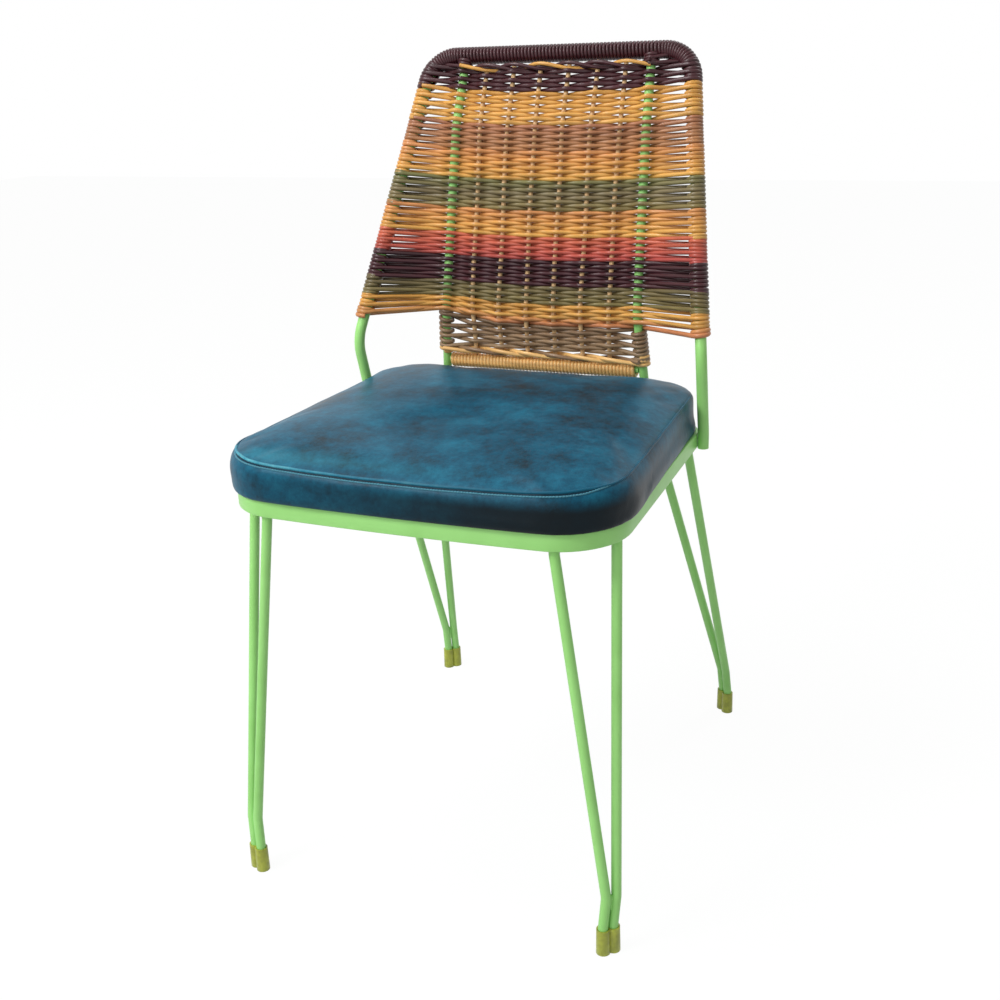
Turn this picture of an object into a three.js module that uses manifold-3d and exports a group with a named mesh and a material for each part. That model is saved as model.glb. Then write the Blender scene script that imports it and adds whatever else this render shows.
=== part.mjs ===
import * as THREE from 'three';
import { mergeVertices } from 'three/addons/utils/BufferGeometryUtils.js';
import Module from 'manifold-3d';

// Cafe chair: a welded rod and bar frame, a padded seat and a woven back on a bent tube hoop.
// Millimetres, +Z up, the sitter faces -Y. The seat rail's middle is over the frame's origin, and the
// finished chair is moved so that the middle of its footprint is the origin.

// Driving dimensions

// Clearance between pieces that touch, and how far a cutter runs past what it cuts.
const GAP = 0.3;
const OVERRUN = 1;

// Seat rail: flat bar on edge, bent to a ring that narrows to the rear.
const RAIL_BOTTOM = 410;
const RAIL_HEIGHT = 17;
const RAIL_THICKNESS = 5;
const RAIL_EDGE_BREAK = 1;
const RAIL_DEPTH = 379;
const RAIL_HALF_WIDTH = 203;
const RAIL_NARROWING = 10;
const RAIL_FRONT_RADIUS = 66;
const RAIL_REAR_RADIUS = 48;
const RAIL_FRONT_BOW = 3;

// Legs: two rods each, welded inside the rail beside a corner. Insets are from the rail's side, and
// setbacks from its front or rear end; a rear foot stands behind the rail.
const LEG_ROD_DIAMETER = 10;
const LEG_ROD_SPACING = 12;
const LEG_TOP_BELOW_RAIL_TOP = 3;
const LEG_KNEE_BELOW_RAIL = 6;
const LEG_BEND_HEIGHT = 60;
const LEG_BEND_RADIUS = 28;
const LEG_KNEE_RADIUS = 14;
const FRONT_FOOT = { inset: 6.5, setback: 6.5 };
const FRONT_BEND = { inset: 4.2, setback: 9.5 };
const FRONT_SIDE_ROD_SETBACK = 57;
const FRONT_RAIL_ROD_INSET = 56;
const FRONT_PAIR_ANGLE_SHARE = 0.25;
const REAR_FOOT = { inset: -2.5, setback: -127.5 };
const REAR_BEND = { inset: -1, setback: -120.5 };
const REAR_SIDE_ROD_SETBACK = 45.5;
const REAR_RAIL_ROD_INSET = 55;
const REAR_PAIR_ANGLE_SHARE = 0.32;

// Foot caps: soft moulded plastic round each pair of rods.
const CAP_HEIGHT = 27;
const CAP_WALL = 1.4;
const CAP_FLOOR = 3;
const CAP_EDGE_BREAK = 1.2;
const CAP_GRIP = 1.5;

// Back hoop: one bent tube. Its bends are given outward from its base, forward of the rail's rear end
// and above the rail.
const HOOP_DIAMETER = 12;
const HOOP_BASE_SETBACK = 45;
const HOOP_KNEE = { out: 1.7, setback: 68, rise: 85 };
const HOOP_CORNER = { out: -48.7, setback: -69, rise: 390 };
const HOOP_KNEE_RADIUS = 48;
const HOOP_CORNER_RADIUS = 34;

// Back rods, given in the same way, and the crossbar between them. The rods meet the hoop's top bar a
// little ahead of its middle.
const BACK_ROD_DIAMETER = 10;
const BACK_ROD_BASE_INSET = 68.5;
const BACK_ROD_KNEE = { out: -9.7, setback: 8.5, rise: 118 };
const BACK_ROD_SHOULDER = { out: -12.5, setback: -33.5, rise: 313 };
const BACK_ROD_TOP = { out: -15, ahead: 6.5 };
const BACK_ROD_KNEE_RADIUS = 60;
const BACK_ROD_SHOULDER_RADIUS = 120;
const CROSSBAR_DIAMETER = 8;
const CROSSBAR_RISE = 54;

// Stakes that the strands pass, between the back rods.
const STAKE_COUNT = 6;
const STAKE_DIAMETER = 4.5;

// Weave: strand size, row pitch up the back, and how far the rows hang down at the middle.
const STRAND_WIDTH = 2.8;
const STRAND_THICKNESS = 2.3;
const ROW_PITCH = 3.9;
const WEAVE_BELOW_BAR = 13.9;
const WEAVE_ABOVE_CROSSBAR = 56.9;
const ROW_SAG = 8.5;
const LAST_ROW_SAG = 11.5;
const TOP_ROW_SAG = 4;
const PASS_CLEARANCE = 1.4;
const WRAP_CLEARANCE = 0.6;
const HOOP_WRAP_FALL_SHARE = 1.45;
const ROD_WRAP_FALL_SHARE = 1.6;
const HOOP_LEAN_SHARE = 0.28;

// Skirt: rows between the back rods under the bands.
const SKIRT_DROP_AT_ROD = 11.1;
const SKIRT_PITCH_AT_ROD = 4.35;
const SKIRT_DROP_AT_MIDDLE = 14.3;
const SKIRT_PITCH_AT_MIDDLE = 3.9;

// Windings, as ribbed sleeves: one rib for each turn of strand.
const BINDING_PITCH = 4.3;
const BINDING_OUTER_DIAMETER = 19;
const BINDING_GROOVE = 1.2;
const WRAP_PITCH = 4.15;
const WRAP_OUTER_DIAMETER = 15.2;
const WRAP_GROOVE = 1.1;
const WRAP_END_SPACE = 1;

// Twisted border under the top bar.
const BORDER_BELOW_BAR = 17.4;
const BORDER_STRAND_DIAMETER = 3;
const BORDER_TWIST_PITCH = 66;
const BORDER_TWIST_RADIUS = 2.1;

// Seat: board, foam and cover.
const BOARD_THICKNESS = 9;
const BOARD_INSET = 6;
const COVER_THICKNESS = 1.5;
const COVER_HEM_INSET = 3;
const COVER_BULGE = 6;
const COVER_BULGE_HEIGHT = 24;
const SEAM_HEIGHT = 40;
const SEAM_INSET = 1;
const SEAM_RISE_REAR = 5;
const SEAM_FRONT_DIP = 4;
const SEAM_FRONT_BULGE = 5;
const CROWN_HEIGHT = 14;
const FOAM_CLEARANCE = 0.5;
const TUCK_LENGTH = 23;
const UPRIGHT_TUCK = 1.2;
const ROD_CLEARANCE = 0.4;
const CUSHION_SIDE_SHARES = [0.35, 0.7, 0.83, 0.92];
const CROWN_SHARES = [0.93, 0.72, 0.4];

// Fixings under the seat.
const TAB_LENGTH = 26;
const TAB_WIDTH = 22;
const TAB_THICKNESS = 3;
const SCREW_HOLE_DIAMETER = 5.6;
const SCREW_DIAMETER = 5;
const SCREW_HEAD_DIAMETER = 9.5;
const SCREW_HEAD_HEIGHT = 2.6;

// Facets.
const ROD_SIDES = 8;
const HOOP_SIDES = 8;
const SLEEVE_SIDES = 6;
const WRAP_STEPS = 6;
const BEND_STEPS = 4;
const LEG_BEND_STEPS = [1, 2, 1];
const CORNER_STEPS = 6;

// Materials

const finish = (color, roughness, metalness = 0) =>
  new THREE.MeshStandardMaterial({ color, roughness, metalness });
const paint = finish('#98da74', 0.45, 0.1);
const amber = finish('#a3a53a', 0.4);
const rattan = finish('#c08f4e', 0.6);
const leatherette = finish('#1f5f86', 0.45);
const foam = finish('#d9d2b8', 0.95);
const plywood = finish('#b98f5f', 0.8);
const zinc = finish('#9a9a9a', 0.35, 0.9);
const plum = finish('#3a1526', 0.45);
const ochre = finish('#d9a040', 0.45);
const pinkBrown = finish('#a8694c', 0.45);
const orange = finish('#cf8545', 0.45);
const olive = finish('#6b6440', 0.45);
const red = finish('#b5452f', 0.45);
const khaki = finish('#8a7a48', 0.45);
const pink = finish('#cc8550', 0.45);
const greyBrown = finish('#6a5038', 0.45);
const tan = finish('#b8783a', 0.5);

// Solids from rings of points

const up = new THREE.Vector3(0, 0, 1);
const side = new THREE.Vector3(1, 0, 0);
const rearward = new THREE.Vector3(0, 1, 0);
const vec = (x, y, z) => new THREE.Vector3(x, y, z);
const lerp = THREE.MathUtils.lerp;
const clamp = THREE.MathUtils.clamp;

function signedVolume(points, faces) {
  const volumes = faces.map(([a, b, c]) =>
    points[a].dot(points[b].clone().cross(points[c])) / 6);
  return volumes.reduce((sum, volume) => sum + volume, 0);
}

// A closed solid from points and triangles, turned so that its faces point out.
function solidFrom(points, faces) {
  const outward = signedVolume(points, faces) > 0;
  const order = outward ? faces : faces.map(([a, b, c]) => [a, c, b]);
  const geometry = new THREE.BufferGeometry();
  geometry.setAttribute('position', new THREE.Float32BufferAttribute(points.flatMap((p) => p.toArray()), 3));
  geometry.setIndex(order.flat());
  return geometry;
}

// Joins rings of equal count by quads, one after another; ends are closed by fans unless it is a loop.
function loft(rings, loop = false) {
  const count = rings[0].length;
  const points = rings.flat();
  const faces = [];
  const strips = loop ? rings.length : rings.length - 1;
  for (let i = 0; i < strips; i += 1) {
    const here = i * count;
    const next = ((i + 1) % rings.length) * count;
    for (let j = 0; j < count; j += 1) {
      const k = (j + 1) % count;
      faces.push([here + j, here + k, next + k], [here + j, next + k, next + j]);
    }
  }
  if (!loop) {
    const last = (rings.length - 1) * count;
    for (let j = 1; j < count - 1; j += 1) {
      faces.push([0, j + 1, j], [last, last + j, last + j + 1]);
    }
  }
  return solidFrom(points, faces);
}

// Paths

// Points along straight runs whose corners are rounded by arcs of a number of steps each.
function roundedPath(corners, radii, steps = radii.map(() => BEND_STEPS)) {
  const points = [corners[0].clone()];
  for (let i = 1; i < corners.length - 1; i += 1) {
    const back = corners[i - 1].clone().sub(corners[i]).normalize();
    const ahead = corners[i + 1].clone().sub(corners[i]).normalize();
    const half = back.angleTo(ahead) / 2;
    const reach = radii[i - 1] / Math.tan(half);
    const bisector = back.clone().add(ahead).normalize();
    const centre = corners[i].clone().addScaledVector(bisector, radii[i - 1] / Math.sin(half));
    const start = corners[i].clone().addScaledVector(back, reach).sub(centre);
    const axis = start.clone().cross(corners[i].clone().addScaledVector(ahead, reach).sub(centre)).normalize();
    const sweep = Math.PI - 2 * half;
    for (let step = 0; step <= steps[i - 1]; step += 1) {
      points.push(start.clone().applyAxisAngle(axis, (sweep * step) / steps[i - 1]).add(centre));
    }
  }
  points.push(corners[corners.length - 1].clone());
  return points;
}

// Length along a path, and the point and direction at a length.
class Route {
  constructor(points) {
    this.points = points;
    this.reach = [0];
    for (let i = 1; i < points.length; i += 1) {
      this.reach.push(this.reach[i - 1] + points[i].distanceTo(points[i - 1]));
    }
    this.length = this.reach[this.reach.length - 1];
  }

  span(length) {
    let i = 1;
    while (i < this.reach.length - 1 && this.reach[i] < length) i += 1;
    return i;
  }

  at(length) {
    const i = this.span(length);
    const share = (length - this.reach[i - 1]) / (this.reach[i] - this.reach[i - 1]);
    return this.points[i - 1].clone().lerp(this.points[i], share);
  }

  direction(length, reach) {
    return this.at(length + reach).sub(this.at(length - reach)).normalize();
  }

  // The first length at which the path is as high as z.
  lengthAtHeight(z) {
    let i = 1;
    while (i < this.points.length - 1 && this.points[i].z < z) i += 1;
    const share = (z - this.points[i - 1].z) / (this.points[i].z - this.points[i - 1].z);
    return lerp(this.reach[i - 1], this.reach[i], share);
  }

  atHeight(z) {
    return this.at(this.lengthAtHeight(z));
  }
}

// Directions along the points of a path, mitred at its corners, and a normal carried along it.
function framesAlong(points, firstNormal) {
  const tangents = points.map((point, i) => {
    const before = points[Math.max(i - 1, 0)];
    const after = points[Math.min(i + 1, points.length - 1)];
    const inward = point.clone().sub(before).normalize();
    const outward = after.clone().sub(point).normalize();
    return inward.add(outward).normalize();
  });
  let normal = firstNormal.clone();
  return tangents.map((tangent) => {
    normal = normal.clone().addScaledVector(tangent, -normal.dot(tangent)).normalize();
    return { tangent, normal: normal.clone(), binormal: tangent.clone().cross(normal) };
  });
}

function circleRing(centre, frame, radius, sides) {
  return Array.from({ length: sides }, (_, j) => {
    const angle = (2 * Math.PI * (j + 0.5)) / sides;
    return centre.clone()
      .addScaledVector(frame.normal, radius * Math.cos(angle))
      .addScaledVector(frame.binormal, radius * Math.sin(angle));
  });
}

// A round bar along a path.
function bar(points, diameter, sides, firstNormal = side) {
  const radius = diameter / 2;
  const frames = framesAlong(points, firstNormal);
  return loft(points.map((point, i) => circleRing(point, frames[i], radius, sides)));
}

// Booleans

const wasm = await Module();
wasm.setup();

function toManifold(geometry) {
  const bare = geometry.clone();
  bare.deleteAttribute('normal');
  bare.deleteAttribute('uv');
  const merged = mergeVertices(bare);
  return new wasm.Manifold(new wasm.Mesh({
    numProp: 3,
    vertProperties: merged.attributes.position.array,
    triVerts: new Uint32Array(merged.index.array),
  }));
}

function fromManifold(manifold) {
  const mesh = manifold.getMesh();
  const geometry = new THREE.BufferGeometry();
  geometry.setAttribute('position', new THREE.BufferAttribute(new Float32Array(mesh.vertProperties), 3));
  geometry.setIndex(new THREE.BufferAttribute(new Uint32Array(mesh.triVerts), 1));
  return geometry;
}

const chair = new THREE.Group();

function add(name, geometry, material, parent = chair) {
  const mesh = new THREE.Mesh(geometry, material);
  mesh.name = name;
  parent.add(mesh);
  return mesh;
}

// Plan outline of the rail: a rounded trapezoid with a slightly bowed front

const RAIL_TOP = RAIL_BOTTOM + RAIL_HEIGHT;
const HALF_DEPTH = RAIL_DEPTH / 2;
const RAIL_HALF_WIDTH_REAR = RAIL_HALF_WIDTH - RAIL_NARROWING;

// Points round the rail's outer face, moved outward by an offset, counter-clockwise from above. Side
// shares add points along the straight of each side, counted from the front.
function railOutline(offset, steps = CORNER_STEPS, sideShares = []) {
  const lean = Math.atan2(RAIL_HALF_WIDTH - RAIL_HALF_WIDTH_REAR, RAIL_DEPTH);
  const front = RAIL_HALF_WIDTH;
  const rear = RAIL_HALF_WIDTH_REAR;
  const corners = [
    { x: front, y: -HALF_DEPTH, radius: RAIL_FRONT_RADIUS, from: -Math.PI / 2, to: lean },
    { x: rear, y: HALF_DEPTH, radius: RAIL_REAR_RADIUS, from: lean, to: Math.PI / 2 },
    { x: -rear, y: HALF_DEPTH, radius: RAIL_REAR_RADIUS, from: Math.PI / 2, to: Math.PI - lean },
    { x: -front, y: -HALF_DEPTH, radius: RAIL_FRONT_RADIUS, from: Math.PI - lean, to: 1.5 * Math.PI },
  ];
  const runs = corners.map((corner) => {
    // The arc's centre is one radius in from the end face and from the leaning side.
    const inY = corner.y - Math.sign(corner.y) * corner.radius;
    const faceX = lerp(front, rear, (inY + HALF_DEPTH) / RAIL_DEPTH);
    const inX = Math.sign(corner.x) * (faceX - corner.radius / Math.cos(lean));
    return Array.from({ length: steps + 1 }, (_, step) => {
      const angle = lerp(corner.from, corner.to, step / steps);
      return new THREE.Vector2(
        inX + (corner.radius + offset) * Math.cos(angle),
        inY + (corner.radius + offset) * Math.sin(angle),
      );
    });
  });
  const sideRun = (from, to, shares) => shares.map((share) => from.clone().lerp(to, share));
  const backwardShares = sideShares.map((share) => 1 - share).reverse();
  // The front between its corners bows out.
  const straight = runs[0][0].x;
  const frontRun = [-0.5, 0, 0.5].map((share) => {
    const bow = RAIL_FRONT_BOW * (1 - share * share);
    return new THREE.Vector2(straight * share, -HALF_DEPTH - offset - bow);
  });
  return [
    ...runs[0],
    ...sideRun(runs[0][steps], runs[1][0], sideShares),
    ...runs[1],
    ...runs[2],
    ...sideRun(runs[2][steps], runs[3][0], backwardShares),
    ...runs[3],
    ...frontRun,
  ];
}

// How far right the outline reaches at a depth.
function outlineX(offset, y) {
  const points = railOutline(offset);
  for (let i = 1; i < points.length; i += 1) {
    const a = points[i - 1];
    const b = points[i];
    if (a.x > 0 && b.x > 0 && (a.y - y) * (b.y - y) <= 0 && a.y !== b.y) {
      return lerp(a.x, b.x, (y - a.y) / (b.y - a.y));
    }
  }
  return 0;
}

// How far the outline reaches to the front or to the rear at a place across it.
function outlineY(offset, x, end) {
  const points = railOutline(offset);
  for (let i = 1; i < points.length; i += 1) {
    const a = points[i - 1];
    const b = points[i];
    if (a.y * end > 0 && b.y * end > 0 && (a.x - x) * (b.x - x) <= 0 && a.x !== b.x) {
      return lerp(a.y, b.y, (x - a.x) / (b.x - a.x));
    }
  }
  return end * (HALF_DEPTH + offset);
}

function shapeOf(points) {
  return new THREE.Shape(points);
}

// Seat rail

const railShape = shapeOf(railOutline(-RAIL_EDGE_BREAK));
railShape.holes.push(new THREE.Path(railOutline(-RAIL_THICKNESS + RAIL_EDGE_BREAK)));
const railGeometry = new THREE.ExtrudeGeometry(railShape, {
  depth: RAIL_HEIGHT - 2 * RAIL_EDGE_BREAK,
  bevelEnabled: true,
  bevelThickness: RAIL_EDGE_BREAK,
  bevelSize: RAIL_EDGE_BREAK,
  bevelSegments: 1,
});
railGeometry.translate(0, 0, RAIL_BOTTOM + RAIL_EDGE_BREAK);
add('seat_rail', railGeometry, paint);

// Leg rods and foot caps

const legInset = RAIL_THICKNESS + GAP + LEG_ROD_DIAMETER / 2;
const legTop = RAIL_TOP - LEG_TOP_BELOW_RAIL_TOP;
const legKnee = RAIL_BOTTOM - LEG_KNEE_BELOW_RAIL;
const capOuterRadius = LEG_ROD_DIAMETER / 2 + 2 * GAP + CAP_WALL;
const rodFoot = CAP_FLOOR + GAP;

// One leg rod: upright along the rail, down to the bend, and upright again in its cap.
function legRod(top, bend, foot) {
  const corners = [
    vec(top.x, top.y, legTop),
    vec(top.x, top.y, legKnee),
    vec(bend.x, bend.y, LEG_BEND_HEIGHT),
    vec(foot.x, foot.y, CAP_HEIGHT + CAP_GRIP),
    vec(foot.x, foot.y, rodFoot),
  ];
  const radii = [LEG_KNEE_RADIUS, LEG_BEND_RADIUS, LEG_KNEE_RADIUS];
  return bar(roundedPath(corners, radii, LEG_BEND_STEPS), LEG_ROD_DIAMETER, ROD_SIDES);
}

// A cap: two round sockets side by side in a pill-shaped body, its lower edge broken.
function footCap() {
  const half = LEG_ROD_SPACING / 2;
  const pill = (radius) => {
    const points = [];
    for (const end of [1, -1]) {
      for (let step = 0; step <= CORNER_STEPS; step += 1) {
        const angle = end * (-Math.PI / 2) + (Math.PI * step) / CORNER_STEPS;
        points.push(new THREE.Vector2(
          end * half + radius * Math.cos(angle),
          radius * Math.sin(angle),
        ));
      }
    }
    return points;
  };
  const level = (radius, z) => pill(radius).map((p) => vec(p.x, p.y, z));
  const body = loft([
    level(capOuterRadius - CAP_EDGE_BREAK, 0),
    level(capOuterRadius, CAP_EDGE_BREAK),
    level(capOuterRadius, CAP_HEIGHT),
  ]);
  let cap = toManifold(body);
  for (const end of [1, -1]) {
    const depth = CAP_HEIGHT - CAP_FLOOR + OVERRUN;
    const bore = new THREE.CylinderGeometry(
      LEG_ROD_DIAMETER / 2 + 2 * GAP, LEG_ROD_DIAMETER / 2 + 2 * GAP, depth, ROD_SIDES,
    );
    bore.rotateX(Math.PI / 2);
    bore.translate(end * half, 0, CAP_FLOOR + depth / 2);
    cap = cap.subtract(toManifold(bore));
  }
  return fromManifold(cap);
}

// The pair of rods stands across the corner's diagonal.
function leg(name, hand, foot, bend, railRod, sideRod, angle) {
  const across = vec(hand * Math.cos(angle), Math.sin(angle), 0).multiplyScalar(LEG_ROD_SPACING / 2);
  const place = (spot, sign) => vec(hand * spot.x, spot.y, 0).addScaledVector(across, sign);
  add(`${name}_side_rod`, legRod(vec(hand * sideRod.x, sideRod.y, 0), place(bend, 1), place(foot, 1)), paint);
  add(`${name}_end_rod`, legRod(vec(hand * railRod.x, railRod.y, 0), place(bend, -1), place(foot, -1)), paint);
  const cap = add(`${name}_foot_cap`, footCap(), amber);
  cap.position.set(hand * foot.x, foot.y, 0);
  cap.rotation.z = hand > 0 ? angle : Math.PI - angle;
}

// A place by its inset from the rail's side and its setback from its front or rear end.
const frontSpot = (spot) => ({ x: RAIL_HALF_WIDTH - spot.inset, y: spot.setback - HALF_DEPTH });
const rearSpot = (spot) => ({ x: RAIL_HALF_WIDTH_REAR - spot.inset, y: HALF_DEPTH - spot.setback });
const frontSideY = FRONT_SIDE_ROD_SETBACK - HALF_DEPTH;
const frontRodX = RAIL_HALF_WIDTH - FRONT_RAIL_ROD_INSET;
const rearSideY = HALF_DEPTH - REAR_SIDE_ROD_SETBACK;
const rearRodX = RAIL_HALF_WIDTH_REAR - REAR_RAIL_ROD_INSET;

for (const [handName, hand] of [['right', 1], ['left', -1]]) {
  leg(
    `front_${handName}_leg`, hand, frontSpot(FRONT_FOOT), frontSpot(FRONT_BEND),
    { x: frontRodX, y: outlineY(-legInset, frontRodX, -1) },
    { x: outlineX(-legInset, frontSideY), y: frontSideY },
    Math.PI * FRONT_PAIR_ANGLE_SHARE,
  );
  leg(
    `rear_${handName}_leg`, hand, rearSpot(REAR_FOOT), rearSpot(REAR_BEND),
    { x: rearRodX, y: outlineY(-legInset, rearRodX, 1) },
    { x: outlineX(-legInset, rearSideY), y: rearSideY },
    -Math.PI * REAR_PAIR_ANGLE_SHARE,
  );
}

// Back hoop: base beside the rail, forward knee, raked side, rounded corner, level top bar

const hoopRadius = HOOP_DIAMETER / 2;
const hoopBaseY = HALF_DEPTH - HOOP_BASE_SETBACK;
const hoopBaseX = outlineX(hoopRadius + GAP, hoopBaseY);
const bendPlace = (bend, baseX) => vec(baseX + bend.out, HALF_DEPTH - bend.setback, RAIL_TOP + bend.rise);
const hoopTop = bendPlace(HOOP_CORNER, hoopBaseX);
const hoopCorners = [
  vec(hoopBaseX, hoopBaseY, RAIL_BOTTOM),
  vec(hoopBaseX, hoopBaseY, RAIL_TOP),
  bendPlace(HOOP_KNEE, hoopBaseX),
  hoopTop,
];
const mirrored = (point) => vec(-point.x, point.y, point.z);
const hoopRoute = new Route(roundedPath(
  [...hoopCorners, ...hoopCorners.map(mirrored).reverse()],
  [HOOP_KNEE_RADIUS, HOOP_KNEE_RADIUS, HOOP_CORNER_RADIUS, HOOP_CORNER_RADIUS, HOOP_KNEE_RADIUS, HOOP_KNEE_RADIUS],
));
add('back_hoop', bar(hoopRoute.points, HOOP_DIAMETER, HOOP_SIDES), paint);

// Back rods: from the outer face of the rear rail up to the underside of the top bar

const rodRadius = BACK_ROD_DIAMETER / 2;
const rodBaseY = HALF_DEPTH + GAP + rodRadius;
const rodBaseX = RAIL_HALF_WIDTH_REAR - BACK_ROD_BASE_INSET;
const rodTop = vec(rodBaseX + BACK_ROD_TOP.out, hoopTop.y - BACK_ROD_TOP.ahead, hoopTop.z - hoopRadius - GAP);
const rodKnee = bendPlace(BACK_ROD_KNEE, rodBaseX);
const rodShoulder = bendPlace(BACK_ROD_SHOULDER, rodBaseX);
const rodRoute = new Route(roundedPath(
  [
    vec(rodBaseX, rodBaseY, RAIL_BOTTOM),
    vec(rodBaseX, rodBaseY, RAIL_TOP),
    rodKnee,
    rodShoulder,
    rodTop,
  ],
  [BACK_ROD_KNEE_RADIUS, BACK_ROD_KNEE_RADIUS, BACK_ROD_SHOULDER_RADIUS],
));
add('back_rod_right', bar(rodRoute.points, BACK_ROD_DIAMETER, ROD_SIDES), paint);
add('back_rod_left', bar(rodRoute.points.map(mirrored), BACK_ROD_DIAMETER, ROD_SIDES), paint);

// Lower crossbar and its wrap

const crossbarAt = rodRoute.atHeight(RAIL_TOP + CROSSBAR_RISE);
const crossbarHalf = crossbarAt.x - rodRadius / Math.cos(Math.PI / ROD_SIDES) - 2 * GAP;
const crossbarEnd = (hand) => vec(hand * crossbarHalf, crossbarAt.y, crossbarAt.z);
add('lower_crossbar', bar([crossbarEnd(-1), crossbarEnd(1)], CROSSBAR_DIAMETER, ROD_SIDES, up), paint);

// A ribbed sleeve along a stretch of a route: one rib for each turn of the strand that is wound there.
function ribbedSleeve(route, from, to, pitch, outerDiameter, groove, boreDiameter, sides) {
  const turns = Math.max(1, Math.round((to - from) / pitch));
  const outer = outerDiameter / 2;
  const bore = (boreDiameter / 2 + GAP) / Math.cos(Math.PI / sides);
  const lengths = [from];
  const radii = [outer - groove];
  for (let turn = 0; turn < turns; turn += 1) {
    lengths.push(lerp(from, to, (turn + 0.5) / turns), lerp(from, to, (turn + 1) / turns));
    radii.push(outer, outer - groove);
  }
  const places = lengths.map((length) => route.at(length));
  const frames = framesAlong(places, rearward);
  const outside = places.map((place, i) => circleRing(place, frames[i], radii[i], sides));
  const bends = route.reach.filter((length) => length > from + GAP && length < to - GAP);
  const inner = [from, ...bends, to].map((length) => route.at(length));
  const innerFrames = framesAlong(inner, rearward);
  innerFrames[0] = frames[0];
  innerFrames[inner.length - 1] = frames[frames.length - 1];
  const inside = inner.map((place, i) => circleRing(place, innerFrames[i], bore, sides)).reverse();
  return loft([...outside, ...inside], true);
}

const crossbarRoute = new Route([crossbarEnd(-1), crossbarEnd(1)]);
add('crossbar_wrap', ribbedSleeve(
  crossbarRoute, WRAP_END_SPACE, crossbarRoute.length - WRAP_END_SPACE,
  WRAP_PITCH, WRAP_OUTER_DIAMETER, WRAP_GROOVE, CROSSBAR_DIAMETER, SLEEVE_SIDES,
), tan);

// Stakes: they follow the lean of the back rods, from the crossbar's wrap to the top binding

const stakeSpacing = (2 * rodKnee.x) / (STAKE_COUNT + 1);
const stakeXs = Array.from({ length: STAKE_COUNT }, (_, i) => (i - (STAKE_COUNT - 1) / 2) * stakeSpacing);
const stakeBottom = crossbarAt.z + WRAP_OUTER_DIAMETER / 2 + GAP;
const stakeTop = hoopTop.z - BINDING_OUTER_DIAMETER / 2 - GAP;
const stakeSides = 6;
stakeXs.forEach((x, i) => {
  const heights = [stakeBottom, rodKnee.z, rodShoulder.z, stakeTop];
  const points = heights.map((z) => vec(x, rodRoute.atHeight(z).y, z));
  add(`stake_${i + 1}`, bar(points, STAKE_DIAMETER, stakeSides), rattan);
});

// Weave

// A strand: four-sided, swept through stations that each give a place and an outward side.
function strand(stations) {
  const places = stations.map((station) => station.place);
  const frames = framesAlong(places, stations[0].out);
  let lastOut = null;
  const rings = stations.map((station, i) => {
    const tangent = frames[i].tangent;
    const out = station.out.clone().addScaledVector(tangent, -station.out.dot(tangent)).normalize();
    if (lastOut && out.dot(lastOut) < 0) out.negate();
    lastOut = out;
    const across = tangent.clone().cross(out);
    const halfWidth = STRAND_WIDTH / 2;
    const halfThick = STRAND_THICKNESS / 2;
    return [[1, 1], [1, -1], [-1, -1], [-1, 1]].map(([a, b]) => station.place.clone()
      .addScaledVector(across, a * halfWidth)
      .addScaledVector(out, b * halfThick));
  });
  return loft(rings);
}

// Turns of a strand round an edge tube, from one row down to the next. The strand comes in on one face
// of the tube and winds outward; whole and half turns follow at an even fall.
function edgeWrap(edge, hand, from, fall, turns, fromFront) {
  const radius = (edge.radius + WRAP_CLEARANCE) / Math.cos(Math.PI / WRAP_STEPS) + STRAND_THICKNESS / 2;
  const total = Math.round(turns * WRAP_STEPS);
  const stations = [];
  for (let step = 0; step <= total; step += 1) {
    const turned = (2 * Math.PI * step) / WRAP_STEPS;
    const along = from - (fall * step) / total;
    const centre = edge.route.at(along);
    const tangent = edge.axis(centre.z);
    const outward = centre.clone().sub(edge.beside(centre.z));
    outward.addScaledVector(tangent, -outward.dot(tangent)).normalize();
    const front = outward.clone().cross(tangent);
    front.multiplyScalar(-Math.sign(front.y)).normalize();
    const face = fromFront ? 1 : -1;
    const out = front.multiplyScalar(face * Math.cos(turned)).addScaledVector(outward, Math.sin(turned));
    const place = centre.addScaledVector(out, radius);
    stations.push({ place: vec(hand * place.x, place.y, place.z), out: vec(hand * out.x, out.y, out.z) });
  }
  return stations;
}

// One band: a single strand that runs to and fro between two edge tubes and is tucked half round one
// at each end. Each row gives its height at the edges and at the middle, and rows pass the uprights on
// alternate faces.
function band(edge, uprights, rows, firstIndex) {
  const last = uprights.length + 1;
  const stations = [];
  rows.forEach((row, r) => {
    const index = firstIndex + r;
    const hand = r % 2 === 0 ? 1 : -1;
    const faceAt = (column) => ((index + column) % 2 === 0 ? 1 : -1);
    const here = edge.route.lengthAtHeight(row.edge);
    if (r === 0) {
      stations.push(...edgeWrap(edge, -hand, here, 0, 0.5, faceAt(0) > 0).reverse());
    }
    const edgeX = edge.route.at(here).x;
    const order = hand > 0 ? uprights : [...uprights].reverse();
    order.forEach((upright, j) => {
      const column = hand > 0 ? j + 1 : last - 1 - j;
      const drop = 1 - (upright.at(row.edge).x / edgeX) ** 2;
      const z = lerp(row.edge, row.middle, drop);
      const front = upright.front(z);
      const reach = upright.radius + PASS_CLEARANCE + STRAND_THICKNESS / 2;
      stations.push({ place: upright.at(z).addScaledVector(front, faceAt(column) * reach), out: front });
    });
    const fromFront = faceAt(hand > 0 ? last : 0) > 0;
    if (r < rows.length - 1) {
      const pitch = here - edge.route.lengthAtHeight(rows[r + 1].edge);
      const lift = (edge.fallShare - 1) / 2;
      stations.push(...edgeWrap(edge, hand, here + pitch * lift, pitch * edge.fallShare, 1.5, fromFront));
    } else {
      stations.push(...edgeWrap(edge, hand, here, 0, 0.5, fromFront));
    }
  });
  return strand(stations);
}

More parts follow.
